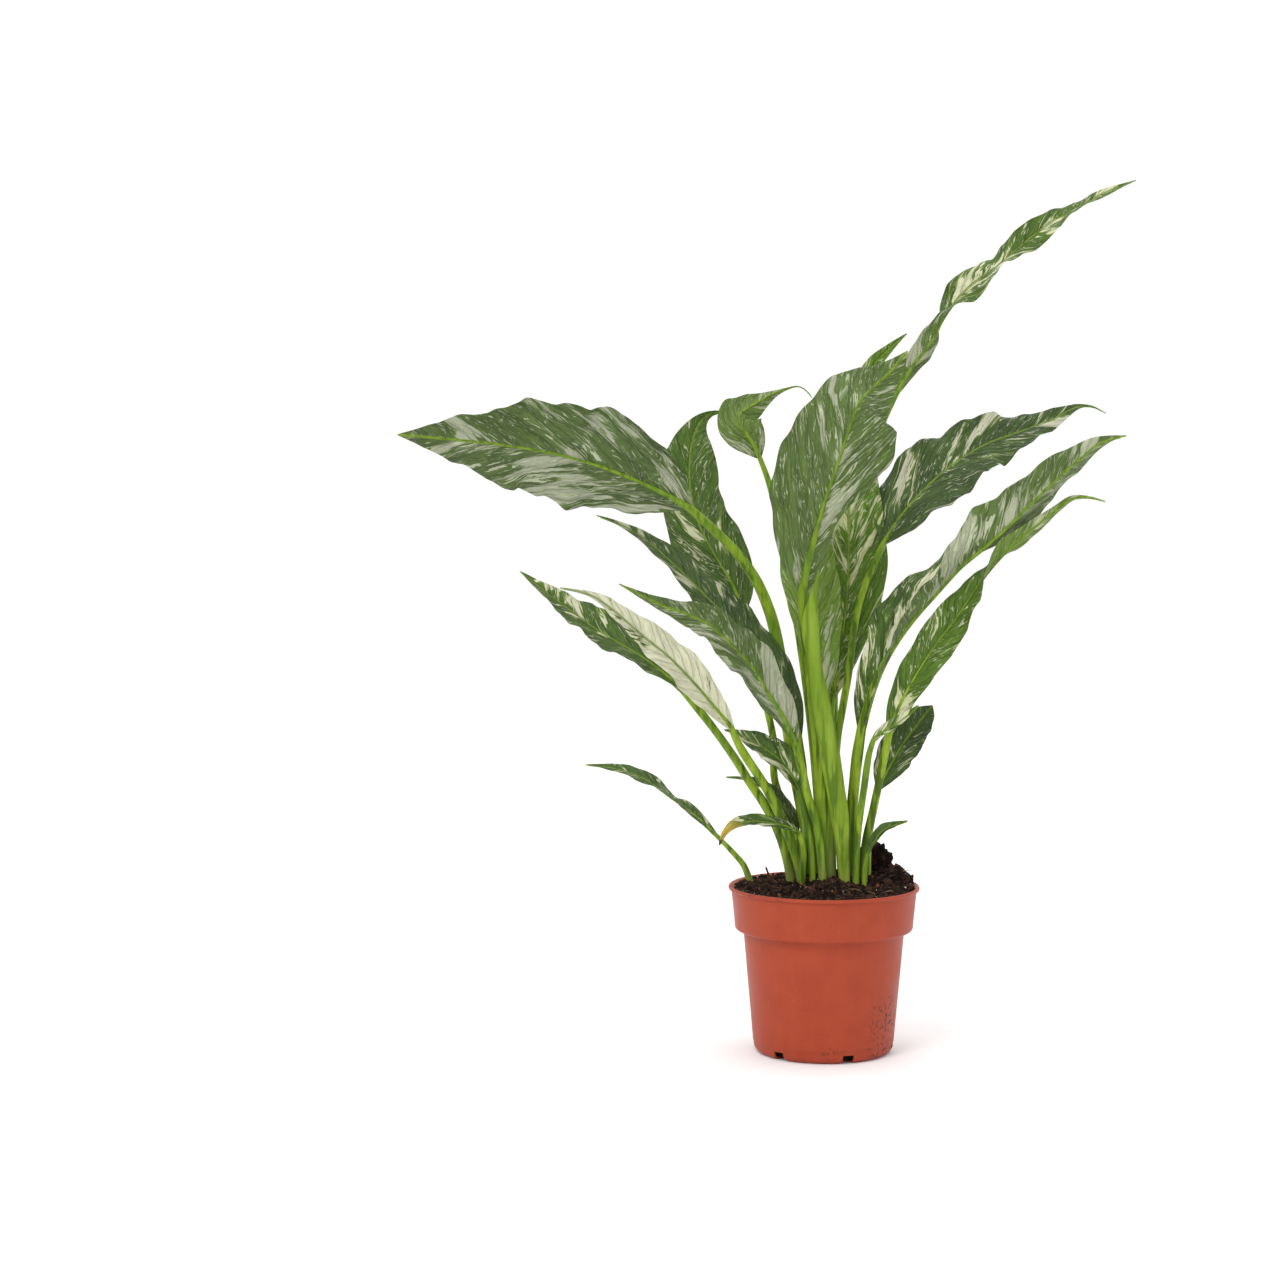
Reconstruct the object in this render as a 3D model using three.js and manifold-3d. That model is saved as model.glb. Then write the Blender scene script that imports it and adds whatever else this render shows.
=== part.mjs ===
// A potted peace lily with variegated leaves, in a thin plastic nursery pot.
// Millimetres, +Z up. The origin is the centre of the pot's underside and -Y is the front.
import * as THREE from "three";
import { mergeVertices } from "three/addons/utils/BufferGeometryUtils.js";
import Module from "manifold-3d";

const wasm = await Module();
wasm.setup();

const gap = 0.35; // clearance between neighbouring pieces

const potHeight = 105;
const potWall = 1.2;
const lipRadius = 60;
const bandTopRadius = 58;
const bandBottomRadius = 56;
const bandBottomZ = 77; // the rim band steps out from the body here
const bodyTopRadius = 50.3;
const bodyFootRadius = 43.4;
const notchCount = 6;
const notchWidth = 8;
const notchHeight = 5.5;
const firstNotchAngle = -39; // degrees from the front, seen from above

const soilEdgeZ = 103.2;
const crownHeap = { x: 4, y: 0, spread: 20, height: 9.5 };
const sideHeap = { x: 42, y: 14, spread: 11, height: 8.5 };

const rootZ = 98; // the stems' cut ends stand this high, inside the soil

// One entry per leaf. stem and blade hold the points of the leaf's centre line, from the root to the tip.
// A blade point's fourth number is its roll in degrees about the centre line: at 0 the upper side faces the
// front, at 90 it has turned to the leaf's right-hand side and at 180 the underside faces the front.
// thick is the stem's radius at its root, above its middle and at its top, width is the blade's full width,
// widest is the share of the blade's length where it is reached, fold is how far each half rises, in degrees,
// and taper is how quickly the blade narrows towards its tip.
const leaves = [
  {
    name: "big_left",
    stem: [[-5, 10, rootZ], [-10, 10, 135], [-16, 9, 164], [-23, 6.5, 205], [-28, 2.5, 247], [-37, -3, 284],
      [-50, -9, 308], [-65.5, -15.5, 325]],
    blade: [[-83.5, -23.5, 342, 155], [-102, -32, 353, 155], [-137, -48.5, 368, 155],
      [-170.5, -65, 377, 155], [-211.5, -87.5, 383, 158], [-250.5, -114, 386.5, 160]],
    thick: [4.4, 4.4, 3.4], width: 66, widest: 0.38, fold: 7, taper: 1.2,
  },
  {
    name: "tall_front",
    stem: [[3, -3, rootZ], [1, -6, 135], [-1, -7.5, 165], [-4, -10, 200], [-8, -13.5, 240.5],
      [-12, -17.5, 270.5]],
    blade: [[-14, -20.5, 290.5, 180], [-8, -27, 318.5, 180], [0, -36.5, 347.5, 180], [8, -45, 372, 180],
      [14.5, -51.5, 391.5, 180], [19.5, -49.5, 405.5, 180], [24.5, -40.5, 412, 180], [30, -31, 417, 180],
      [39, -25, 425.5, 180], [49.5, -26, 438, 180]],
    thick: [5.5, 5.8, 2.8], width: 70, widest: 0.42, fold: 10, taper: 1.1,
  },
  {
    name: "upper_right",
    stem: [[12, 5, rootZ], [9, 8, 140], [7, 11, 173.5], [8, 13, 195.5], [11, 15.5, 213.5], [16, 21, 244],
      [19, 27.5, 269], [24, 33.5, 289], [30.5, 38.5, 304]],
    blade: [[36.5, 42.5, 317.5, -35], [51, 51, 339.5, -38], [73.5, 66, 362, -38], [102.5, 83.5, 381, -35],
      [143, 102.5, 395.5, -35], [171.5, 116.5, 407, -45], [184.5, 122, 402, -80]],
    thick: [2.6, 2.4, 2], width: 52, widest: 0.26, fold: 10, taper: 1.7,
  },
  {
    name: "long_right",
    stem: [[19, 0, rootZ], [17, -1, 144], [19, -4, 172.5]],
    blade: [[23, -9, 205.5, -40], [32, -15.5, 237, -45], [40.5, -21, 255, -50], [52.5, -27.5, 273, -55],
      [68, -35, 291.5, -70], [82.5, -43, 308, -105], [97, -50, 320, -140], [109, -57.5, 332, -150],
      [132.5, -73.5, 356.5, -150], [146.5, -83, 370, -150], [159.5, -92, 381, -150],
      [174, -101, 385.5, -120]],
    thick: [3.6, 3.6, 3], width: 44, widest: 0.45, fold: 28, taper: 1,
  },
  {
    name: "low_right",
    stem: [[25, -6, rootZ], [25, -7.5, 127], [30, -10.5, 152], [35, -15, 177.5]],
    blade: [[40, -19.5, 203.5, -20], [47, -24, 222.5, -20], [63.5, -32, 253, -20], [82, -39.5, 279, -25],
      [96.5, -47, 302, -80], [112, -53.5, 320, -145], [134, -62.5, 339, -150], [149, -68, 349.5, -150],
      [165, -73, 347, -150]],
    thick: [2.6, 2.6, 2.2], width: 22, widest: 0.32, fold: 12, taper: 1.4,
  },
  {
    name: "back_centre",
    stem: [[6, 14, rootZ], [4, 17.5, 150], [3, 22, 189.5]],
    blade: [[5, 26.5, 220.5, 0], [10, 35, 252.5, 0], [14, 43.5, 283.5, 0], [15, 51, 314.5, 0],
      [15, 58.5, 346.5, 0], [18.5, 65, 378, 0], [23.5, 70.5, 409.5, 0], [29.5, 73, 431, -10],
      [40, 76, 442.5, -20], [52, 78, 453, -20]],
    thick: [2.6, 2.4, 2], width: 35, widest: 0.36, fold: 16, taper: 1,
  },
  {
    name: "back_left",
    stem: [[4, 6, rootZ], [1, 6.5, 150], [-1, 7, 190]],
    blade: [[-2, 8.5, 215, 180], [-8, 12, 253, 180], [-11, 14.5, 284, 180], [-13, 16, 315, 180],
      [-15, 17, 347, 180], [-18, 16, 380, 180]],
    thick: [2.4, 2.2, 2], width: 40, widest: 0.42, fold: 12, taper: 1.2,
  },
  {
    name: "tallest",
    stem: [[14, 15, rootZ], [9, 30, 160], [6, 45, 233.5], [13, 57.5, 296.5], [22.5, 68, 346.5],
      [32.5, 75.5, 385]],
    blade: [[45, 81, 413.5, -150], [55, 85.5, 431, -155], [68.5, 90, 449.5, -145], [78, 93.5, 467, -80],
      [93.5, 98.5, 484.5, -20], [112, 102, 498.5, -75], [130, 105.5, 514, -20], [145.5, 108, 526, -20],
      [162.5, 111, 535.5, -80], [180.5, 114, 545, -40], [202, 117, 554, -60]],
    thick: [2.4, 2.2, 1.8], width: 21, widest: 0.42, fold: 10, taper: 0.9,
  },
  {
    name: "short_right",
    stem: [[28, 2, rootZ], [28, 2.5, 130], [31, 4.5, 151.5]],
    blade: [[34, 6, 165, -20], [41.5, 9, 180, -20], [50.5, 13, 194.5, -25], [61, 17.5, 208, -25],
      [68, 22, 216.5, -30]],
    thick: [1.9, 1.8, 1.6], width: 24, widest: 0.5, fold: 12, taper: 0.6,
  },
  {
    name: "pale_short",
    stem: [[20, -13, rootZ], [20, -15, 125], [22, -19.5, 150.5], [25, -25, 173], [27, -30.5, 189]],
    blade: [[30, -34, 200.5, -60], [40.5, -40, 208.5, -60], [50.5, -44.5, 216, -60], [57, -48, 223, -60]],
    thick: [2.2, 2.2, 1.6], width: 9, widest: 0.4, fold: 15, taper: 1,
  },
  {
    name: "tiny_right",
    stem: [[26, -15, rootZ], [25, -16, 116]],
    blade: [[27, -18, 127.5, -60], [33, -20, 138, -60], [37, -21, 143, -60], [42.5, -22, 145.5, -60],
      [51.5, -24, 149, -60]],
    thick: [1.3, 1.2, 1], width: 8, widest: 0.45, fold: 15, taper: 1.2,
  },
  {
    name: "low_left",
    stem: [[-46, 19, rootZ], [-50, 21, 112], [-58, 23.5, 121.5]],
    blade: [[-70, 27.5, 133, 60], [-83.5, 33.5, 144.5, 50], [-101, 41.5, 156, 100], [-112.5, 47, 163, 60],
      [-129.5, 54.5, 169.5, 60], [-156, 65, 172, 70]],
    thick: [2.6, 1.7, 1.4], width: 12, widest: 0.5, fold: 12, taper: 0.9,
  },
  {
    name: "yellow_tip",
    stem: [[-14, -12, rootZ], [-13, -15.5, 118], [-13, -19, 131.5]],
    blade: [[-16, -21, 141, 60], [-23, -25, 145, 60], [-32.5, -30, 147.5, 60], [-43.5, -36, 149.5, 60],
      [-53.5, -42, 148, 60], [-60, -47.5, 143, 60], [-63.5, -53, 137, 60]],
    thick: [1.8, 1.7, 1.5], width: 10, widest: 0.55, fold: 12, taper: 0.8,
  },
  {
    name: "mid_left",
    stem: [[-19, 2, rootZ], [-24, 2, 125], [-33, 3.5, 147.5], [-47, 5.5, 169], [-59.5, 7, 188.5],
      [-74, 9.5, 207.5]],
    blade: [[-90.5, 13.5, 227, 50], [-117.5, 21, 247.5, 50], [-144, 30.5, 262, 50], [-169.5, 41.5, 279, 50],
      [-198, 56, 299, 50]],
    thick: [3.4, 2.8, 2.2], width: 28, widest: 0.4, fold: 16, taper: 1.2,
  },
  {
    name: "cream",
    stem: [[-12, -4, rootZ], [-17, -6.5, 122], [-24, -9, 142], [-35, -12.5, 165.5], [-44, -17, 180.5],
      [-52, -22, 193.5]],
    blade: [[-57.5, -25.5, 206, 35], [-66.5, -30.5, 218, 35], [-76.5, -37, 231, 35], [-86, -42.5, 242, 35],
      [-96, -48, 252.5, 40], [-106.5, -54, 261.5, 40], [-117.5, -60.5, 271.5, 45], [-126, -65, 279.5, 50],
      [-141.5, -73, 290.5, 60], [-158.5, -80, 295, 70]],
    thick: [3, 3, 2], width: 22, widest: 0.38, fold: 14, taper: 1.3,
  },
  {
    name: "front_left",
    stem: [[0, -13, rootZ], [-4, -15.5, 143], [-9, -18.5, 159.5], [-14, -23.5, 180.5]],
    blade: [[-18, -28, 197, 150], [-26, -36, 216, 155], [-35.5, -44.5, 231.5, 155],
      [-42.5, -51.5, 244.5, 155], [-51, -58.5, 255, 155], [-60, -66.5, 265, 155], [-73.5, -77.5, 276, 155],
      [-98, -94.5, 286.5, 150], [-120.5, -112, 299, 150]],
    thick: [2.7, 2.6, 2.2], width: 26, widest: 0.4, fold: 12, taper: 1.5,
  },
  {
    name: "dark_left",
    stem: [[-13, 4, rootZ], [-12, 1, 128], [-12, -2, 164]],
    blade: [[-16, -1, 199, 50], [-21, -4, 221, 50], [-33, -9.5, 241.5, 45], [-51, -13, 264.5, 45],
      [-70.5, -13.5, 283.5, 45], [-93, -10, 305.5, 50], [-117.5, -4, 325.5, 55], [-143.5, 4, 336.5, 60]],
    thick: [2.2, 2.2, 2], width: 27, widest: 0.4, fold: 14, taper: 1.2,
  },
  {
    name: "arching_left",
    stem: [[-12, 18, rootZ], [-15, 20, 126], [-23, 24, 145.5], [-31, 28.5, 164.5], [-33, 34.5, 196.5],
      [-39, 40, 221], [-45.5, 46, 253]],
    blade: [[-52.5, 50, 273, 0], [-58.5, 53.5, 289, 0], [-70, 59, 308, 0], [-81, 64.5, 327.5, 0],
      [-87.5, 70.5, 349.5, -5], [-88.5, 75, 370, -10], [-86, 80.5, 388.5, -5], [-78.5, 87.5, 400.5, 20],
      [-67.5, 92.5, 402.5, 30], [-59.5, 97, 394.5, 30]],
    thick: [2.6, 2.4, 2], width: 42, widest: 0.28, fold: 12, taper: 2.4,
  },
  {
    name: "curled",
    stem: [[-2, 20, rootZ], [-6, 28, 170.5], [-16, 38.5, 252.5], [-26, 47.5, 308.5], [-35.5, 55.5, 353.5]],
    blade: [[-42.5, 58, 373, 190], [-47.5, 56.5, 383, 190], [-54, 55.5, 392.5, 190],
      [-56, 59.5, 399.5, 185], [-53, 70, 403.5, 180], [-43, 77, 409.5, 170], [-28.5, 79.5, 417, 160],
      [-16.5, 79.5, 419, 150], [-9, 79, 412, 150]],
    thick: [2, 2, 1.6], width: 26, widest: 0.28, fold: 6, taper: 2.6,
  },
  {
    name: "short_left",
    stem: [[-7, -11, rootZ], [-8, -12, 130], [-12, -11.5, 152]],
    blade: [[-16, -9.5, 166, 45], [-24, -7.5, 180.5, 45], [-37, -2.5, 190.5, 45], [-52, 5.5, 198, 50],
      [-63.5, 13, 201, 60]],
    thick: [2.2, 2, 1.6], width: 20, widest: 0.35, fold: 18, taper: 1.2,
  },
  {
    name: "thin_left",
    stem: [[-20, 9, rootZ], [-18, 9.5, 120]],
    blade: [[-17, 10, 135, 50], [-25, 12.5, 151.5, 60], [-35, 15, 162.5, 60], [-48, 18, 168.5, 60],
      [-62.5, 20, 170, 60]],
    thick: [1.5, 1.5, 1.2], width: 11, widest: 0.3, fold: 15, taper: 1.3,
  },
];

const shootLine = [[14, -11, rootZ], [13, -13.5, 122], [12, -16.5, 144], [8, -18.5, 171.5],
  [3, -22.5, 203.5], [-3, -25.5, 234.5], [-7, -30, 272.5], [-4, -34, 304.5]];
const shootThick = [3, 4.8, 5.2];
const twigLine = [[-35, 25, rootZ], [-35, 25, 106], [-37, 25, 112]];

const colours = {
  pot: { color: 0xb8523a, roughness: 0.45 },
  soil: { color: 0x2e211b, roughness: 1 },
  bark: { color: 0x9a5a33, roughness: 0.9 },
  blade: { color: 0x3f6b33, roughness: 0.45 },
  stem: { color: 0x86a32c, roughness: 0.45 },
};

const plant = new THREE.Group();

function addPart(name, geometry, { color, roughness }) {
  const mesh = new THREE.Mesh(geometry, new THREE.MeshStandardMaterial({ color, roughness, metalness: 0 }));
  mesh.name = name;
  plant.add(mesh);
  return mesh;
}

// Joins vertices that share a place and drops the triangles that this closes up.
function weld(geometry) {
  geometry.deleteAttribute("normal");
  geometry.deleteAttribute("uv");
  const welded = mergeVertices(geometry, 1e-3);
  const kept = [];
  const index = welded.index.array;
  for (let i = 0; i < index.length; i += 3) {
    const [a, b, c] = index.slice(i, i + 3);
    if (a !== b && b !== c && c !== a) kept.push(a, b, c);
  }
  welded.setIndex(kept);
  return welded;
}

function toSolid(geometry) {
  const vertProperties = new Float32Array(geometry.attributes.position.array);
  const triVerts = new Uint32Array(geometry.index.array);
  return new wasm.Manifold(new wasm.Mesh({ numProp: 3, vertProperties, triVerts }));
}

function toGeometry(solid) {
  const mesh = solid.getMesh();
  const geometry = new THREE.BufferGeometry();
  geometry.setAttribute("position", new THREE.BufferAttribute(mesh.vertProperties, 3));
  geometry.setIndex(new THREE.BufferAttribute(mesh.triVerts, 1));
  return geometry;
}

// Skins a row of equal rings, each turning by the right-hand rule about the way forward, and caps both ends.
// Where crossed(j) is true the strip's squares are split along their other diagonal.
function loft(rings, crossed = () => false) {
  const sides = rings[0].length;
  const middle = (ring) => ring.reduce((sum, p) => sum.add(p), new THREE.Vector3()).divideScalar(sides);
  const points = [...rings.flat(), middle(rings[0]), middle(rings.at(-1))];
  const startCap = rings.length * sides;
  const lastRing = (rings.length - 1) * sides;
  const index = [];
  for (let j = 0; j < sides; j += 1) {
    const next = (j + 1) % sides;
    for (let low = 0; low < lastRing; low += sides) {
      const high = low + sides;
      if (crossed(j)) index.push(low + j, low + next, high + j, low + next, high + next, high + j);
      else index.push(low + j, low + next, high + next, low + j, high + next, high + j);
    }
    index.push(startCap, next, j, startCap + 1, lastRing + j, lastRing + next);
  }
  const geometry = new THREE.BufferGeometry().setFromPoints(points);
  geometry.setIndex(index);
  return geometry;
}

function curveThrough(points) {
  const places = points.map(([x, y, z]) => new THREE.Vector3(x, y, z));
  return new THREE.CatmullRomCurve3(places, false, "centripetal");
}

// A frame on the centre line: forward, up (out of the leaf's upper side, turned by roll) and right.
function frameAt(curve, t, rollDegrees) {
  const forward = curve.getTangent(t);
  const front = new THREE.Vector3(0, -1, 0);
  const up = front.addScaledVector(forward, -front.dot(forward)).normalize();
  up.applyAxisAngle(forward, THREE.MathUtils.degToRad(rollDegrees));
  const right = new THREE.Vector3().crossVectors(forward, up);
  return { at: curve.getPoint(t), forward, up, right };
}

// Reads a row of equally spaced values at share 0 to 1.
function along(values, share) {
  const place = Math.min(share, 1) * (values.length - 1);
  const before = Math.min(Math.floor(place), values.length - 2);
  return THREE.MathUtils.lerp(values[before], values[before + 1], place - before);
}

// A round rod along part of a curve. grow widens and lengthens it, to cut the socket that it stands in.
function rod(curve, endT, thick, steps, grow = 0) {
  const sides = 8;
  const rings = [];
  for (let i = 0; i <= steps; i += 1) {
    const share = i / steps;
    const { at, forward, up, right } = frameAt(curve, endT * share, 0);
    if (i === 0) at.addScaledVector(forward, -grow);
    const radius = along(thick, share) + grow;
    rings.push(Array.from({ length: sides }, (_, j) => {
      const angle = (2 * Math.PI * j) / sides;
      return at.clone()
        .addScaledVector(up, radius * Math.cos(angle))
        .addScaledVector(right, radius * Math.sin(angle));
    }));
  }
  return loft(rings);
}

// The blade's half width, as a share of its greatest, at share u of its length.
function bladeOutline(u, widest, taper) {
  if (u < widest) return Math.sin((Math.PI / 2) * (u / widest)) ** 0.8;
  return Math.cos((Math.PI / 2) * ((u - widest) / (1 - widest))) ** taper;
}

// A thin blade with sharp margins, folded up along a midrib that stands out underneath.
function bladeGeometry(leaf, curve, baseT) {
  const steps = Math.max(8, 2 * (leaf.blade.length - 1) - 2);
  const rolls = leaf.blade.map((point) => point[3]);
  const fold = THREE.MathUtils.degToRad(leaf.fold);
  const stemTop = leaf.thick[2];
  const frames = [];
  for (let i = 0; i <= steps; i += 1) {
    frames.push(frameAt(curve, baseT + (1 - baseT) * (i / steps), along(rolls, i / steps)));
  }
  const travelled = [0];
  frames.slice(1).forEach((frame, i) => travelled.push(travelled[i] + frame.at.distanceTo(frames[i].at)));
  const rings = frames.map(({ at, up, right }, i) => {
    const u = travelled[i] / travelled[steps];
    const half = (leaf.width / 2) * bladeOutline(u, leaf.widest, leaf.taper) + 0.8 * stemTop * (1 - u) + 0.4;
    const sheet = 0.5 * (1 - 0.4 * u);
    const neck = 0.75 * stemTop * (1 - u) ** 6; // the stem's thickness dies away into the blade
    const midrib = neck + 0.9 * (1 - 0.4 * u) + sheet;
    const corner = (sideways, lift) => at.clone()
      .addScaledVector(right, sideways * half * Math.cos(fold))
      .addScaledVector(up, Math.abs(sideways) * half * Math.sin(fold) + lift);
    return [
      corner(0, neck), corner(0.5, neck * 0.5), corner(1, 0), corner(0.5, -sheet - neck * 0.5),
      corner(0, -midrib), corner(-0.5, -sheet - neck * 0.5), corner(-1, 0), corner(-0.5, neck * 0.5),
    ];
  });
  return loft(rings, (j) => j > 1 && j < 6); // the two sides of the sheet bend along the same diagonals
}

function arc(centreX, centreZ, radius, fromDegrees, toDegrees, steps) {
  return Array.from({ length: steps + 1 }, (_, i) => {
    const angle = THREE.MathUtils.degToRad(THREE.MathUtils.lerp(fromDegrees, toDegrees, i / steps));
    return [centreX + radius * Math.cos(angle), centreZ + radius * Math.sin(angle)];
  });
}

function bodyRadiusAt(z) {
  return THREE.MathUtils.mapLinear(z, 0, bandBottomZ, bodyFootRadius, bodyTopRadius);
}

function turned(profile, segments) {
  const lathe = new THREE.LatheGeometry(profile.map(([r, z]) => new THREE.Vector2(r, z)), segments);
  return weld(lathe.rotateX(Math.PI / 2));
}

function makePot() {
  const footRound = 5;
  const outside = [
    [0, 0],
    ...arc(bodyRadiusAt(footRound) - footRound, footRound, footRound, -90, 0, 4),
    [bodyRadiusAt(bandBottomZ), bandBottomZ],
    ...arc(bandBottomRadius - 3, bandBottomZ + 3, 3, -75, 0, 3),
    [bandTopRadius, potHeight - 2.4],
    ...arc(lipRadius - 0.9, potHeight - 0.9, 0.9, -60, 90, 4),
  ];
  const inside = [
    [bandTopRadius - potWall, potHeight - 1],
    [bandBottomRadius - potWall, bandBottomZ + 3.6],
    [bodyRadiusAt(bandBottomZ) - potWall + 0.6, bandBottomZ + 1.2],
    [bodyRadiusAt(bandBottomZ) - potWall, bandBottomZ - 0.8],
    ...arc(bodyRadiusAt(footRound) - footRound, footRound, footRound - potWall, 0, -90, 3),
    [0, potWall],
  ];
  let solid = toSolid(turned([...outside, ...inside], 48));
  for (let i = 0; i < notchCount; i += 1) {
    const notch = new THREE.BoxGeometry(notchWidth, 14, 2 * notchHeight);
    notch.translate(0, -bodyFootRadius + 2, 0);
    notch.rotateZ(THREE.MathUtils.degToRad(firstNotchAngle + (360 * i) / notchCount));
    solid = solid.subtract(toSolid(weld(notch)));
  }
  return toGeometry(solid);
}

function heapHeight(heap, x, y) {
  return heap.height * Math.exp(-((x - heap.x) ** 2 + (y - heap.y) ** 2) / (2 * heap.spread ** 2));
}

function soilHeight(x, y) {
  const lumps = 0.8 * Math.sin(x / 3.1) * Math.cos(y / 2.7) + 0.5 * Math.sin(x / 1.9 + y / 2.3);
  return soilEdgeZ + heapHeight(crownHeap, x, y) + heapHeight(sideHeap, x, y) + lumps;
}

function makeSoilBlock() {
  const sides = 40;
  const wallGap = potWall + gap;
  const sections = [
    [bodyRadiusAt(0) - wallGap - 3.6, potWall + gap],
    [bodyRadiusAt(6) - wallGap, 6.5],
    [bodyRadiusAt(bandBottomZ) - wallGap, bandBottomZ - 1],
    [bodyRadiusAt(bandBottomZ) - wallGap + 0.2, bandBottomZ + 2],
    [bandBottomRadius - wallGap, bandBottomZ + 5],
  ];
  const ringAt = (radius, heightAt) => Array.from({ length: sides }, (_, j) => {
    const angle = (2 * Math.PI * j) / sides;
    const x = radius * Math.cos(angle);
    const y = radius * Math.sin(angle);
    return new THREE.Vector3(x, y, heightAt(x, y));
  });
  const rings = sections.map(([radius, z]) => ringAt(radius, () => z));
  for (const radius of [56.2, 51, 45, 39, 33, 27, 21, 15, 9, 4]) rings.push(ringAt(radius, soilHeight));
  return loft(rings);
}

// A rough stone-like shape: a ball whose surface is pushed in and out.
function makeLump(size, place, detail) {
  const ball = weld(new THREE.IcosahedronGeometry(1, detail));
  const points = ball.attributes.position;
  const point = new THREE.Vector3();
  for (let i = 0; i < points.count; i += 1) {
    point.fromBufferAttribute(points, i);
    const bump = 1 + 0.13 * Math.sin(5 * point.x + 3 * point.z) * Math.cos(4 * point.y - 2 * point.z);
    points.setXYZ(i, ...point.multiplyScalar(bump).multiply(size));
  }
  return ball.translate(place.x, place.y, place.z);
}

const sockets = [];

addPart("pot", makePot(), colours.pot);

for (const leaf of leaves) {
  const curve = curveThrough([...leaf.stem, ...leaf.blade]);
  const baseT = leaf.stem.length / (leaf.stem.length + leaf.blade.length - 1);
  const speed = curve.getPoint(baseT).distanceTo(curve.getPoint(baseT - 0.01)) / 0.01;
  const stemT = baseT - gap / speed;
  const steps = leaf.stem.length + 2;
  addPart(`${leaf.name}_stem`, rod(curve, stemT, leaf.thick, steps), colours.stem);
  addPart(`${leaf.name}_leaf`, bladeGeometry(leaf, curve, baseT), colours.blade);
  sockets.push(rod(curve, stemT, leaf.thick, steps, gap));
}

const shootCurve = curveThrough(shootLine);
const shootProfile = [...shootThick, 0.5];
addPart("new_shoot", rod(shootCurve, 1, shootProfile, 12), colours.stem);
sockets.push(rod(shootCurve, 1, shootProfile, 12, gap));

const twigCurve = curveThrough(twigLine);
addPart("twig", rod(twigCurve, 1, [0.8, 0.6], 3), colours.bark);
sockets.push(rod(twigCurve, 1, [0.8, 0.6], 3, gap));

const looseBits = [
  { name: "peat_lump", size: [8.5, 7, 9.5], place: [33, 17, 118.5], look: colours.soil, detail: 1 },
  { name: "bark_chip", size: [3.4, 2.4, 2], place: [-33, 17, 106.5], look: colours.bark, detail: 0 },
];
for (const { name, size, place, look, detail } of looseBits) {
  const at = new THREE.Vector3(...place);
  const half = new THREE.Vector3(...size);
  addPart(name, makeLump(half, at, detail), look);
  sockets.push(makeLump(half.clone().addScalar(gap * 1.3), at, detail));
}

const soil = sockets.reduce((solid, socket) => solid.subtract(toSolid(socket)), toSolid(makeSoilBlock()));
addPart("soil", toGeometry(soil), colours.soil);

export default plant;
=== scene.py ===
# A potted peace lily: variegated leaves, stalks, nursery pot and potting mix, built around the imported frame.
import math

import bmesh
import bpy
import numpy as np
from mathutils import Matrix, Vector, noise
from mathutils.bvhtree import BVHTree


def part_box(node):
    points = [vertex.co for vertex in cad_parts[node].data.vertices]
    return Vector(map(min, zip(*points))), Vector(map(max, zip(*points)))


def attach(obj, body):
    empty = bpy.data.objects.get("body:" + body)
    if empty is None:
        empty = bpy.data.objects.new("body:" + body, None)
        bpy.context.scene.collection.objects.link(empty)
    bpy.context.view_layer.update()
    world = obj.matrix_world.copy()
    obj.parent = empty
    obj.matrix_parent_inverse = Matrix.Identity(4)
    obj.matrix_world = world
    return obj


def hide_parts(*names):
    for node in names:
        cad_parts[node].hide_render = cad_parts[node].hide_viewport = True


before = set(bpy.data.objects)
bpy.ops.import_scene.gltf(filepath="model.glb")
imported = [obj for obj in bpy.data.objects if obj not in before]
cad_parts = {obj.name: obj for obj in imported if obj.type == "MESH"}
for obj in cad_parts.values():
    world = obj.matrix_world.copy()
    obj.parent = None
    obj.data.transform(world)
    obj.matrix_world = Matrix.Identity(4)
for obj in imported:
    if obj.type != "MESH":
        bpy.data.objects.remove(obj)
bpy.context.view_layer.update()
mm = 0.001


def linear(hexColour):
    # sRGB hex to the linear colour that shaders take
    parts = [int(hexColour[i:i + 2], 16) / 255 for i in (1, 3, 5)]
    return tuple(c / 12.92 if c <= 0.04045 else ((c + 0.055) / 1.055) ** 2.4 for c in parts) + (1.0,)


def addNode(tree, kind, links=None, **settings):
    node = tree.nodes.new(kind)
    for key, value in settings.items():
        setattr(node, key, value)
    for key, value in (links or {}).items():
        if isinstance(value, bpy.types.NodeSocket):
            tree.links.new(value, node.inputs[key])
        else:
            node.inputs[key].default_value = value
    return node


def startMaterial(name, **shaderValues):
    material = bpy.data.materials.new(name)
    material.use_nodes = True
    tree = material.node_tree
    tree.nodes.clear()
    skin = addNode(tree, "ShaderNodeBsdfPrincipled", {k.replace("_", " "): v for k, v in shaderValues.items()})
    addNode(tree, "ShaderNodeOutputMaterial", {"Surface": skin.outputs[0]})
    return material, tree, skin


def mixColours(tree, factor, first, second):
    return addNode(tree, "ShaderNodeMix", {0: factor, 6: first, 7: second}, data_type="RGBA").outputs[2]


def maths(tree, operation, *values):
    return addNode(tree, "ShaderNodeMath", dict(enumerate(values)), operation=operation).outputs[0]


def softStep(tree, value, low, high, lowest=0.0, highest=1.0):
    links = {"Value": value, 1: low, 2: high, 3: lowest, 4: highest}
    return addNode(tree, "ShaderNodeMapRange", links, interpolation_type="SMOOTHSTEP").outputs[0]


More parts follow.
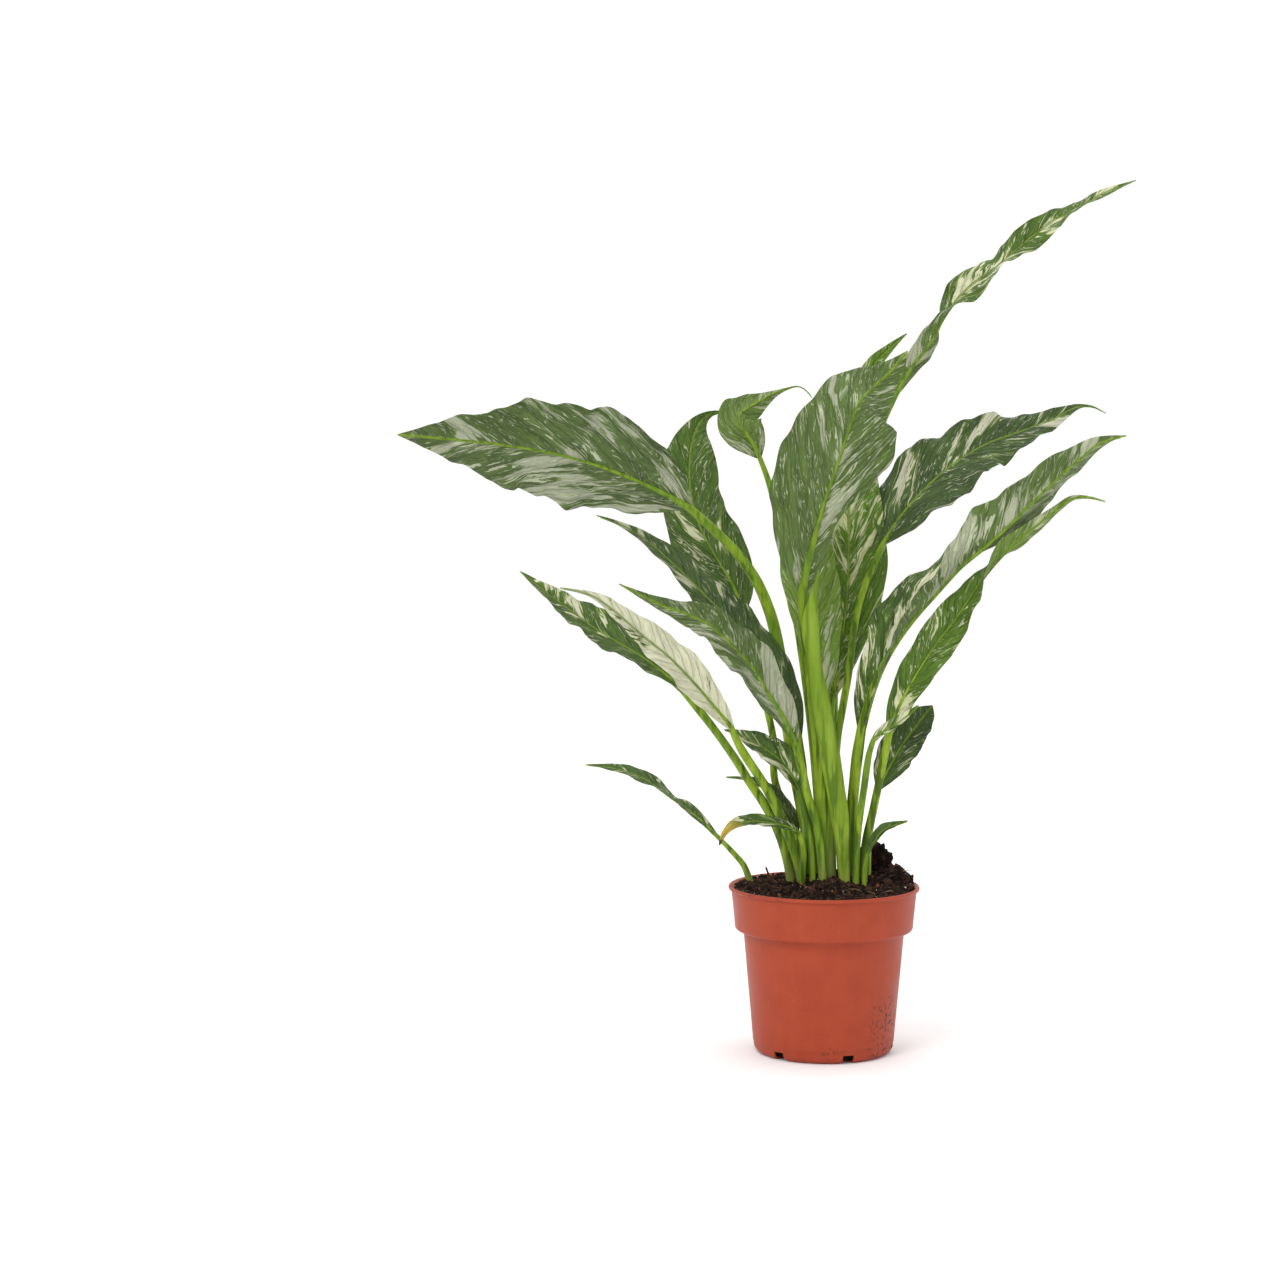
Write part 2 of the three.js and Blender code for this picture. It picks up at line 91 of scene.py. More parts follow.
leafSides = {
    # the waxy upper side: olive to deep green under a thin shine, cream where the tissue has no green
    "leafUpper": {"deep": "#33461e", "mid": "#4f6a28", "soft": "#7c904c", "cream": "#d2d2b4", "midrib": "#718a34",
                  "fresh": "#58781e", "freshCream": "#b3bb76", "fleck": "#d8d8b8", "roughness": (0.38, 0.54), "veinTone": -0.12,
                  "veinHeight": -0.4},
    # the matte underside: greyer green, its veins raised, the tissue without green a warm grey
    "leafUnder": {"deep": "#43552c", "mid": "#5c703d", "soft": "#7b8862", "cream": "#a0a58c", "midrib": "#7e982c",
                  "fresh": "#6f8c34", "freshCream": "#aeb884", "fleck": "#b6bca0", "roughness": (0.5, 0.66), "veinTone": 0.1,
                  "veinHeight": 0.5},
}
leafPattern = {"unit": 0.1, "sector": (26.0, 30.0), "streak": (6.0, 12.0), "fleck": (2.0, 5.6), "fine": (1.2, 3.2),
               "cloud": (16.0, 20.0), "veinSpacing": 9.0, "cellSize": 0.8}
# mm across and along the side veins, apart from unit: one UV unit is 0.1 m


def makeLeafMaterial(name, look):
    material, tree, skin = startMaterial(name, IOR=1.45, Specular_IOR_Level=0.3)
    perUnit = leafPattern["unit"] / mm
    veins = addNode(tree, "ShaderNodeUVMap", uv_map="veins").outputs[0]
    place = addNode(tree, "ShaderNodeSeparateXYZ", {0: veins})
    acrossVeins, fromMidrib = place.outputs[0], place.outputs[1]
    given = addNode(tree, "ShaderNodeAttribute", attribute_name="leafState")
    # the side veins wander a little
    wander = addNode(tree, "ShaderNodeTexNoise", {"Vector": veins, "Scale": 7.0, "Detail": 2.0}).outputs[0]
    acrossVeins = maths(tree, "MULTIPLY_ADD", maths(tree, "SUBTRACT", wander, 0.5), 0.22, acrossVeins)
    pale, fresh, yellow = addNode(tree, "ShaderNodeSeparateColor", {0: given.outputs["Color"]}).outputs[:3]
    # the alpha of leafState is painted shade: how far a blade at the back or in deep shade is darkened
    paintedShade = given.outputs["Alpha"]

    def flow(size, shift, detail, distortion):
        # noise drawn out along the side veins, centred on zero
        place = addNode(tree, "ShaderNodeCombineXYZ", {
            0: maths(tree, "MULTIPLY", acrossVeins, perUnit / size[0]),
            1: maths(tree, "MULTIPLY", fromMidrib, perUnit / size[1]), 2: shift}).outputs[0]
        made = addNode(tree, "ShaderNodeTexNoise", {
            "Vector": place, "Scale": 1.0, "Detail": detail, "Roughness": 0.55, "Distortion": distortion}).outputs[0]
        return maths(tree, "SUBTRACT", made, 0.5)

    sectors = flow(leafPattern["sector"], 5.1, 1.0, 0.8)
    streaks = flow(leafPattern["streak"], 1.7, 3.0, 0.7)
    flecks = flow(leafPattern["fleck"], 9.3, 2.0, 0.2)
    fine = flow(leafPattern["fine"], 2.9, 1.0, 0.1)
    clouds = flow(leafPattern["cloud"], 3.9, 3.0, 0.4)

    # tissue without green: broad sectors with ragged streaky borders, and loose flecks between them
    lift = maths(tree, "MULTIPLY", maths(tree, "SUBTRACT", pale, 0.5), 0.9)
    level = maths(tree, "MULTIPLY_ADD", sectors, 1.9, lift)
    level = maths(tree, "MULTIPLY_ADD", streaks, 0.9, level)
    level = maths(tree, "MULTIPLY_ADD", flecks, 0.6, level)
    creamMask = softStep(tree, level, 0.15, 0.19)
    softMask = softStep(tree, level, 0.06, 0.12)
    loose = maths(tree, "MULTIPLY_ADD", clouds, 0.9, maths(tree, "MULTIPLY_ADD", lift, 0.35, flecks))
    fleckMask = softStep(tree, loose, 0.145, 0.19, 0.0, 0.85)
    fineMask = softStep(tree, maths(tree, "MULTIPLY_ADD", clouds, -0.8, fine), 0.17, 0.21, 0.0, 0.6)
    holeMask = softStep(tree, maths(tree, "MULTIPLY_ADD", streaks, -0.8, fine), 0.2, 0.26, 0.0, 0.8)

    green = mixColours(tree, softStep(tree, clouds, -0.2, 0.2), linear(look["deep"]), linear(look["mid"]))
    green = mixColours(tree, fresh, green, linear(look["fresh"]))
    shadow = maths(tree, "MULTIPLY", softStep(tree, streaks, -0.04, -0.16), 0.5)
    green = mixColours(tree, shadow, green, linear(look["deep"]))
    green = mixColours(tree, maths(tree, "MULTIPLY", softMask, 0.8), green, linear(look["soft"]))
    cream = mixColours(tree, maths(tree, "MULTIPLY", fresh, 0.75), linear(look["cream"]), linear(look["freshCream"]))
    creamMask = maths(tree, "MULTIPLY", creamMask, maths(tree, "SUBTRACT", 1.0, holeMask))
    fleck = mixColours(tree, maths(tree, "MULTIPLY", fresh, 0.4), linear(look["fleck"]), linear(look["freshCream"]))
    colour = mixColours(tree, creamMask, green, cream)
    colour = mixColours(tree, maths(tree, "MAXIMUM", fleckMask, fineMask), colour, fleck)
    # painted shade: leaves at the back or in deep shade are darkened towards a dull grey green
    colour = mixColours(tree, paintedShade, colour, linear("#39482f"))

    # side veins: a faint line every few millimetres, finer ones between
    phase = maths(tree, "MULTIPLY", acrossVeins, 2 * math.pi * perUnit / leafPattern["veinSpacing"])
    veinLine = maths(tree, "POWER", maths(tree, "MULTIPLY_ADD", maths(tree, "COSINE", phase), 0.5, 0.5), 14.0)
    fineLine = maths(tree, "POWER", maths(tree, "MULTIPLY_ADD", maths(
        tree, "COSINE", maths(tree, "MULTIPLY", phase, 5.0)), 0.5, 0.5), 4.0)
    veinColour = linear(look["midrib"] if look["veinTone"] > 0 else look["deep"])
    colour = mixColours(tree, maths(tree, "MULTIPLY", veinLine, abs(look["veinTone"])), colour, veinColour)
    colour = mixColours(tree, maths(tree, "MULTIPLY", fineLine, 0.08), colour, veinColour)

    midribMask = softStep(tree, maths(tree, "ABSOLUTE", fromMidrib), 0.4 / perUnit, 1.3 / perUnit, 1.0, 0.0)
    colour = mixColours(tree, maths(tree, "MULTIPLY", midribMask, 0.8), colour, linear(look["midrib"]))
    spent = mixColours(tree, softStep(tree, yellow, 0.78, 0.92), linear("#b39a3c"), linear("#4e3526"))
    colour = mixColours(tree, softStep(tree, yellow, 0.1, 0.6), colour, spent)
    tree.links.new(colour, skin.inputs["Base Color"])

    grain = addNode(tree, "ShaderNodeTexNoise", {
        "Vector": veins, "Scale": perUnit / leafPattern["cellSize"], "Detail": 2.0, "Roughness": 0.5}).outputs[0]
    gloss = softStep(tree, maths(tree, "MULTIPLY_ADD", clouds, 0.7, maths(tree, "MULTIPLY", grain, 0.3)),
                     -0.1, 0.4, *look["roughness"])
    tree.links.new(gloss, skin.inputs["Roughness"])
    height = maths(tree, "MULTIPLY_ADD", veinLine, look["veinHeight"], maths(tree, "MULTIPLY", grain, 0.3))
    height = maths(tree, "MULTIPLY_ADD", fineLine, look["veinHeight"] * 0.3, height)
    height = maths(tree, "MULTIPLY_ADD", streaks, 2.4, height)
    height = maths(tree, "MULTIPLY_ADD", midribMask, -0.8 if look["veinHeight"] < 0 else 0.4, height)
    bump = addNode(tree, "ShaderNodeBump", {"Height": height, "Strength": 0.8, "Distance": 0.0015}).outputs[0]
    tree.links.new(bump, skin.inputs["Normal"])
    return material


def makeStalkMaterial(name, look):
    # fleshy petiole: lime with fine lengthwise fibres, paler where it comes out of the soil
    material, tree, skin = startMaterial(name, IOR=1.42, Specular_IOR_Level=0.25)
    along = addNode(tree, "ShaderNodeAttribute", attribute_name="along").outputs["Fac"]
    place = addNode(tree, "ShaderNodeTexCoord").outputs["Object"]
    stretched = addNode(tree, "ShaderNodeMapping", {"Vector": place, "Scale": (1.0, 1.0, 0.035)}).outputs[0]
    fibres = addNode(tree, "ShaderNodeTexNoise", {
        "Vector": stretched, "Scale": 900.0, "Detail": 3.0, "Roughness": 0.65}).outputs[0]
    bands = addNode(tree, "ShaderNodeTexNoise", {
        "Vector": stretched, "Scale": 260.0, "Detail": 2.0, "Roughness": 0.5}).outputs[0]
    clouds = addNode(tree, "ShaderNodeTexNoise", {"Vector": place, "Scale": 45.0, "Detail": 2.0}).outputs[0]
    colour = mixColours(tree, softStep(tree, clouds, 0.35, 0.65), linear(look["light"]), linear(look["mid"]))
    colour = mixColours(tree, softStep(tree, bands, 0.48, 0.62, 0.0, 0.85), colour, linear(look["dark"]))
    colour = mixColours(tree, softStep(tree, fibres, 0.52, 0.66, 0.0, 0.35), colour, linear(look["dark"]))
    colour = mixColours(tree, softStep(tree, bands, 0.44, 0.3, 0.0, 0.55), colour, linear(look["pale"]))
    colour = mixColours(tree, softStep(tree, along, 0.3, 0.62, 0.0, 0.5), colour, linear(look["top"]))
    colour = mixColours(tree, softStep(tree, along, 0.13, 0.02), colour, linear(look["foot"]))
    tree.links.new(colour, skin.inputs["Base Color"])
    tree.links.new(softStep(tree, fibres, 0.3, 0.7, 0.36, 0.52), skin.inputs["Roughness"])
    bump = addNode(tree, "ShaderNodeBump", {"Height": fibres, "Strength": 0.35, "Distance": 0.0004}).outputs[0]
    tree.links.new(bump, skin.inputs["Normal"])
    return material


def makePotMaterial():
    # vacuum-formed polypropylene in terracotta red: satin, evenly coloured, with dried peat splashed on it
    material, tree, skin = startMaterial("terracottaPolypropylene", IOR=1.49, Specular_IOR_Level=0.25)
    place = addNode(tree, "ShaderNodeTexCoord").outputs["Object"]
    height = addNode(tree, "ShaderNodeSeparateXYZ", {0: place}).outputs[2]
    mottle = addNode(tree, "ShaderNodeTexNoise", {"Vector": place, "Scale": 60.0, "Detail": 3.0}).outputs[0]
    drawn = addNode(tree, "ShaderNodeMapping", {"Vector": place, "Scale": (1.0, 1.0, 0.08)}).outputs[0]
    flow = addNode(tree, "ShaderNodeTexNoise", {"Vector": drawn, "Scale": 190.0, "Detail": 2.0}).outputs[0]
    dust = addNode(tree, "ShaderNodeTexNoise", {"Vector": place, "Scale": 420.0, "Detail": 4.0, "Roughness": 0.65}).outputs[0]
    specks = addNode(tree, "ShaderNodeTexVoronoi", {"Vector": place, "Scale": 260.0}).outputs["Distance"]
    smear = addNode(tree, "ShaderNodeTexNoise", {"Vector": place, "Scale": 36.0, "Detail": 2.0}).outputs[0]
    colour = mixColours(tree, softStep(tree, mottle, 0.3, 0.7), linear("#9a3a20"), linear("#a14025"))
    colour = mixColours(tree, softStep(tree, flow, 0.5, 0.75, 0.0, 0.15), colour, linear("#ab4a30"))
    fromSplash = addNode(tree, "ShaderNodeVectorMath", {0: place, 1: (0.043, -0.026, 0.026)},
                         operation="DISTANCE").outputs["Value"]
    splash = softStep(tree, fromSplash, 0.026, 0.006)
    nearFoot = softStep(tree, height, 0.02, 0.002)
    nearRim = softStep(tree, height, 0.098, 0.106)
    dirty = maths(tree, "MULTIPLY", maths(tree, "MAXIMUM", nearFoot, nearRim), softStep(tree, smear, 0.45, 0.7))
    dirty = maths(tree, "MAXIMUM", dirty, maths(tree, "MULTIPLY", splash, softStep(tree, smear, 0.38, 0.55)))
    speckled = maths(tree, "MULTIPLY", softStep(tree, dust, 0.52, 0.6), maths(tree, "MULTIPLY", dirty, 0.85))
    lone = maths(tree, "MULTIPLY", softStep(tree, specks, 0.12, 0.06), softStep(tree, dust, 0.54, 0.6, 0.0, 0.7))
    colour = mixColours(tree, maths(tree, "MAXIMUM", speckled, lone), colour, linear("#3a241b"))
    nicks = maths(tree, "MULTIPLY", softStep(tree, specks, 0.07, 0.04), softStep(tree, dust, 0.47, 0.42, 0.0, 0.6))
    colour = mixColours(tree, nicks, colour, linear("#d09a86"))
    tree.links.new(colour, skin.inputs["Base Color"])
    tree.links.new(softStep(tree, maths(tree, "ADD", mottle, maths(tree, "MULTIPLY", speckled, 0.5)), 0.3, 0.9, 0.4, 0.62),
                   skin.inputs["Roughness"])
    bump = addNode(tree, "ShaderNodeBump", {"Height": maths(tree, "MULTIPLY_ADD", dust, 0.35, flow),
                                            "Strength": 0.2, "Distance": 0.0003}).outputs[0]
    tree.links.new(bump, skin.inputs["Normal"])
    return material


def makeCrumbMaterial(name, dark, light, rust, roughness=0.95):
    # crumbled organic matter: every crumb a little different, with a grainy broken surface
    material, tree, skin = startMaterial(name, IOR=1.35, Roughness=roughness, Specular_IOR_Level=0.25)
    tint = addNode(tree, "ShaderNodeAttribute", attribute_name="tint").outputs["Fac"]
    place = addNode(tree, "ShaderNodeTexCoord").outputs["Object"]
    grain = addNode(tree, "ShaderNodeTexNoise", {"Vector": place, "Scale": 1300.0, "Detail": 4.0, "Roughness": 0.7}).outputs[0]
    lumps = addNode(tree, "ShaderNodeTexNoise", {"Vector": place, "Scale": 260.0, "Detail": 3.0}).outputs[0]
    level = maths(tree, "MULTIPLY_ADD", grain, 0.6, maths(tree, "MULTIPLY", tint, 0.4))
    colour = mixColours(tree, softStep(tree, level, 0.3, 0.75), linear(dark), linear(light))
    colour = mixColours(tree, softStep(tree, lumps, 0.55, 0.75, 0.0, 0.5), colour, linear(rust))
    tree.links.new(colour, skin.inputs["Base Color"])
    bump = addNode(tree, "ShaderNodeBump", {"Height": grain, "Strength": 0.8, "Distance": 0.0008}).outputs[0]
    tree.links.new(bump, skin.inputs["Normal"])
    return material


leafUpper = makeLeafMaterial("waxyLeafUpperSide", leafSides["leafUpper"])
leafUnder = makeLeafMaterial("matteLeafUnderside", leafSides["leafUnder"])
petioleSkin = makeStalkMaterial("limePetioleSkin", {
    "light": "#87a022", "mid": "#68881a", "dark": "#3a560e", "pale": "#99b03e", "top": "#5f7d20", "foot": "#7c8a3e"})
shootSkin = makeStalkMaterial("freshShootSkin", {
    "light": "#86a02e", "mid": "#728c1e", "dark": "#46610f", "pale": "#9aae4c", "top": "#6f8c22", "foot": "#8f9a44"})
potPlastic = makePotMaterial()
peat = makeCrumbMaterial("pottingPeat", "#170e0a", "#3f2b21", "#4e3223")
crumbPeat = makeCrumbMaterial("peatCrumb", "#1a110c", "#49342a", "#573725")
fibrePeat = makeCrumbMaterial("peatFibre", "#5a4130", "#a58c6c", "#7a5a3e")
paleGrit = makeCrumbMaterial("paleGrit", "#8c8273", "#d6cfc0", "#a39884")
barkWood = makeCrumbMaterial("pineBark", "#4e2c1a", "#9a6440", "#6f3d22", 0.8)
print("materials made")


def weldedNode(name):
    # the node's own points without repeats, and its triangles
    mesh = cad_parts[name].data
    points = np.array([v.co for v in mesh.vertices])
    corners = np.array([p.vertices[:] for p in mesh.polygons])
    points, index = np.unique(np.round(points, 7), axis=0, return_inverse=True)
    return points, index.reshape(-1)[corners]


def ringsOf(name, nearPoint):
    # a lofted node's rings from the end at nearPoint, each a dictionary of point to its neighbours
    points, triangles = weldedNode(name)
    near = [set() for _ in points]
    for a, b, c in triangles:
        near[a] |= {b, c}
        near[b] |= {a, c}
        near[c] |= {a, b}
    ends = [i for i in range(len(points)) if len(near[i]) == 8]
    start = min(ends, key=lambda i: np.linalg.norm(points[i] - nearPoint))
    rings, seen, layer = [], {start}, {start}
    while layer:
        layer = {j for i in layer for j in near[i]} - seen
        seen |= layer
        if len(layer) == 8:
            rings.append(layer)
    return points, near, rings


def stemLine(name):
    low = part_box(name)[0]
    points, _, rings = ringsOf(name, np.array([*(Vector(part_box(name)[0]) + Vector(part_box(name)[1])).xy / 2, low.z]))
    centres = np.array([points[list(ring)].mean(axis=0) for ring in rings])
    radii = np.array([np.linalg.norm(points[list(ring)] - c, axis=1).mean() for ring, c in zip(rings, centres)])
    if centres[0][2] > centres[-1][2]:
        centres, radii = centres[::-1], radii[::-1]
    return centres, radii


def unit(vectors):
    return vectors / np.maximum(np.linalg.norm(vectors, axis=-1, keepdims=True), 1e-12)


def bladeLine(name, stemTop):
    # the blade's centre line with its right-hand and upward directions, half width and how far its margins rise
    points, near, rings = ringsOf(name, stemTop)
    lefts, rights, middles = [], [], []
    for i, ring in enumerate(rings):
        ahead = i + 1 < len(rings)
        other = rings[i + 1] if ahead else rings[i - 1]
        reach = {p: len(near[p] & other) for p in ring}
        three = max(ring, key=lambda p: reach[p])
        one = min(ring, key=lambda p: reach[p])
        left, right = (three, one) if ahead else (one, three)
        beside = [p for p in near[right] & ring]
        middle = [next(q for q in near[p] & ring if q != right) for p in beside]
        lefts.append(points[left])
        rights.append(points[right])
        middles.append([points[q] for q in middle])
    lefts, rights, middles = np.array(lefts), np.array(rights), np.array(middles)
    centres = middles.mean(axis=1)
    forward = unit(np.gradient(centres, axis=0))
    sideways = rights - lefts
    right = unit(sideways - forward * (sideways * forward).sum(axis=1, keepdims=True))
    up = np.cross(right, forward)
    rise = (((lefts + rights) / 2 - centres) * up).sum(axis=1)
    return centres, right, up, np.linalg.norm(sideways, axis=1) / 2, rise


def smoothAt(known, values, wanted):
    # a smooth curve through the values at the places known
    values = np.asarray(values, float)
    flat = values.reshape(len(known), -1)
    slope = np.gradient(flat, known, axis=0)
    before = np.clip(np.searchsorted(known, wanted, side="right") - 1, 0, len(known) - 2)
    step = (known[before + 1] - known[before])[:, None]
    t = (wanted - known[before])[:, None] / step
    made = ((2 * t ** 3 - 3 * t ** 2 + 1) * flat[before] + (t ** 3 - 2 * t ** 2 + t) * step * slope[before]
            + (3 * t ** 2 - 2 * t ** 3) * flat[before + 1] + (t ** 3 - t ** 2) * step * slope[before + 1])
    return made.reshape(len(wanted), *values.shape[1:])


def lengthsAlong(points):
    return np.concatenate([[0], np.cumsum(np.linalg.norm(np.diff(points, axis=0), axis=1))])


def finishPiece(obj, slotName, *nodes):
    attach(obj, "root")
    if nodes:
        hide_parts(*nodes)
    return obj


def meshPiece(name, points, faces, materials, smooth=True):
    mesh = bpy.data.meshes.new(name)
    mesh.from_pydata([tuple(p) for p in points], [], faces)
    for material in materials:
        mesh.materials.append(material)
    mesh.polygons.foreach_set("use_smooth", [smooth] * len(mesh.polygons))
    obj = bpy.data.objects.new(name, mesh)
    bpy.context.scene.collection.objects.link(obj)
    return obj


def plainMesh(obj, name):
    # the result of the object's modifiers as a new plain mesh object
    evaluated = obj.evaluated_get(bpy.context.evaluated_depsgraph_get())
    mesh = bpy.data.meshes.new_from_object(evaluated)
    mesh.name = name
    made = bpy.data.objects.new(name, mesh)
    bpy.context.scene.collection.objects.link(made)
    bpy.data.objects.remove(obj)
    return made


stalkSettings = {"sides": 16, "spacing": 3.0, "jointLength": 22.0, "jointSwell": 0.12, "midribWidth": 1.15,
                 "midribTip": 0.25, "fade": 20.0}  # mm, apart from sides and jointSwell


def newTree(name, inputs):
    tree = bpy.data.node_groups.new(name, "GeometryNodeTree")
    for label, kind, value in inputs:
        socket = tree.interface.new_socket(label, in_out="INPUT", socket_type=kind)
        if value is not None:
            socket.default_value = value
    tree.interface.new_socket("Geometry", in_out="OUTPUT", socket_type="NodeSocketGeometry")
    start = addNode(tree, "NodeGroupInput")
    return tree, start.outputs


def endTree(tree, geometry, material):
    whole = addNode(tree, "GeometryNodeRealizeInstances", {"Geometry": geometry}).outputs[0]
    painted = addNode(tree, "GeometryNodeSetMaterial", {"Geometry": whole, "Material": material}).outputs[0]
    addNode(tree, "NodeGroupOutput", {0: painted})


def runTree(obj, tree, values):
    modifier = obj.modifiers.new(tree.name, "NODES")
    modifier.node_group = tree
    for item in tree.interface.items_tree:
        if item.in_out == "INPUT" and item.name in values:
            modifier[item.identifier] = values[item.name]


def makeStalkTree():
    # a round stalk along a curve whose points carry the radius
    tree, given = newTree("stalkAlongCurve", [
        ("Geometry", "NodeSocketGeometry", None), ("Sides", "NodeSocketInt", 12), ("Skin", "NodeSocketMaterial", None)])
    factor = addNode(tree, "GeometryNodeSplineParameter").outputs["Factor"]
    marked = addNode(tree, "GeometryNodeStoreNamedAttribute", {
        "Geometry": given["Geometry"], "Name": "along", "Value": factor}, data_type="FLOAT", domain="POINT").outputs[0]
    profile = addNode(tree, "GeometryNodeCurvePrimitiveCircle", {"Resolution": given["Sides"], "Radius": 1.0}).outputs[0]
    radius = addNode(tree, "GeometryNodeInputRadius").outputs[0]
    tube = addNode(tree, "GeometryNodeCurveToMesh", {
        "Curve": marked, "Profile Curve": profile, "Scale": radius, "Fill Caps": True}).outputs[0]
    smooth = addNode(tree, "GeometryNodeSetShadeSmooth", {"Geometry": tube}).outputs[0]
    endTree(tree, smooth, given["Skin"])
    return tree


stalkTree = makeStalkTree()


def makeStalk(name, centres, radii, skin, sides):
    curve = bpy.data.curves.new(name + "Path", "CURVE")
    curve.dimensions = "3D"
    spline = curve.splines.new("POLY")
    spline.points.add(len(centres) - 1)
    spline.points.foreach_set("co", np.column_stack([centres, np.ones(len(centres))]).ravel())
    spline.points.foreach_set("radius", np.maximum(radii, 0.05 * mm))
    path = bpy.data.objects.new(name + "Path", curve)
    bpy.context.scene.collection.objects.link(path)
    runTree(path, stalkTree, {"Sides": sides, "Skin": skin})
    return plainMesh(path, name)


leafDefaults = {"pale": 0.42, "palePatches": [], "fresh": 0.1, "freshTip": 0.0, "yellow": 0.0, "paintedShade": 0.0,
                "wave": 1.6, "waves": 4.0, "arch": 0.05, "scallop": 0.022, "slim": 0.0,
                "stout": 1.0, "fuller": []}
# slim: how much the stalk narrows towards its top; stout: how much further up the blade the thick midrib reaches
# palePatches: share along, share across (-1 left to 1 right), reach along, reach across, strength
# fuller: which half (0 both, -1 left, 1 right), share along, reach along and how much wider than its solid
# paintedShade: painted shade, how far a leaf at the back or in deep shade is darkened
leafLooks = {
    "big_left": {"pale": 0.4, "palePatches": [(0.34, 0.5, 0.26, 0.4, 0.42), (0.4, -0.4, 0.04, 0.6, 0.24),
                 (0.12, -0.4, 0.05, 0.4, 0.1), (0.65, 0.3, 0.2, 0.4, 0.15)], "wave": 4.2, "fresh": 0.0, "slim": 0.3},
    "tall_front": {"pale": 0.42, "palePatches": [(0.3, -0.4, 0.14, 0.35, 0.36), (0.65, -0.5, 0.2, 0.4, 0.22),
                   (0.3, 0.6, 0.25, 0.4, -0.14)], "wave": 3.2, "fresh": 0.15,
                   "stout": 2.0, "fuller": [(-1, 0.24, 0.22, -0.66)]},
    "upper_right": {"pale": 0.37, "palePatches": [(0.3, -0.3, 0.1, 0.5, 0.16), (0.65, 0.4, 0.2, 0.4, 0.12)],
                    "wave": 3.8, "fresh": 0.0, "paintedShade": 0.22},
    "long_right": {"pale": 0.38, "palePatches": [(0.4, -0.35, 0.07, 0.32, 1.2), (0.3, -0.15, 0.09, 0.2, 1.1),
                   (0.54, 0.6, 0.08, 0.4, 0.6), (0.8, 0.2, 0.2, 0.5, 0.15)],
                   "wave": 3.4, "fresh": 0.12, "stout": 4.0, "fuller": [(1, 0.32, 0.22, -0.72)]},
    "low_right": {"pale": 0.31, "fresh": 0.6, "wave": 2.6},
    "back_centre": {"pale": 0.44, "palePatches": [(0.25, 0.2, 0.15, 0.5, 0.1), (0.52, 0.0, 0.12, 1.2, 0.36)], "fresh": 1.0,
                    "fuller": [(0, 0.35, 0.25, 0.35)]},
    "back_left": {"pale": 0.46, "fresh": 1.0, "wave": 1.5, "fuller": [(1, 0.2, 0.3, -0.6)]},
    "tallest": {"pale": 0.46, "palePatches": [(0.45, 0.0, 0.12, 1.0, 0.2)], "fresh": 0.3, "freshTip": 0.3, "wave": 1.6,
                "waves": 7.0},
    "short_right": {"pale": 0.3, "wave": 1.4, "fresh": 0.0, "paintedShade": 0.25},
    "pale_short": {"pale": 0.6, "fresh": 0.3, "wave": 0.6},
    "tiny_right": {"pale": 0.28, "wave": 0.5, "paintedShade": 0.2},
    "low_left": {"pale": 0.42, "wave": 1.0, "fresh": 0.2, "paintedShade": 0.2},
    "yellow_tip": {"pale": 0.4, "yellow": 1.0, "wave": 0.8},
    "mid_left": {"pale": 0.32, "wave": 1.8, "fresh": 0.2},
    "cream": {"pale": 1.0, "palePatches": [(0.35, 0.0, 0.3, 1.5, 0.25), (0.75, -0.3, 0.2, 0.4, -0.45)], "fresh": 0.0,
              "wave": 1.8},
    "front_left": {"pale": 0.48, "palePatches": [(0.28, -0.6, 0.22, 0.4, 0.4), (0.7, 0.3, 0.2, 0.4, 0.1)], "wave": 2.2,
                   "fresh": 0.1, "paintedShade": 0.12},
    "dark_left": {"pale": 0.34, "fresh": 0.1, "wave": 1.8, "paintedShade": 0.35},
    "arching_left": {"pale": 0.36, "wave": 2.4, "fresh": 0.25, "freshTip": 0.5, "paintedShade": 0.12,
                     "fuller": [(0, 0.72, 0.16, 1.15)]},
    "curled": {"pale": 0.46, "wave": 1.5, "fresh": 0.55, "paintedShade": 0.1, "fuller": [(0, 0.85, 0.22, -0.6)]},
    "short_left": {"pale": 0.38, "palePatches": [(0.5, -0.8, 0.4, 0.3, 0.4)], "wave": 1.2, "fresh": 0.15},
    "thin_left": {"pale": 0.4, "wave": 0.8, "paintedShade": 0.3},
}
bladeSettings = {"stepAlong": 1.7, "across": 30, "thickness": 0.5, "edgeThickness": 0.18, "quilt": 0.42, "veinLean": 1.7,
                 "veinSweep": 0.012}  # mm, apart from the counts and veinLean; veinSweep is per mm


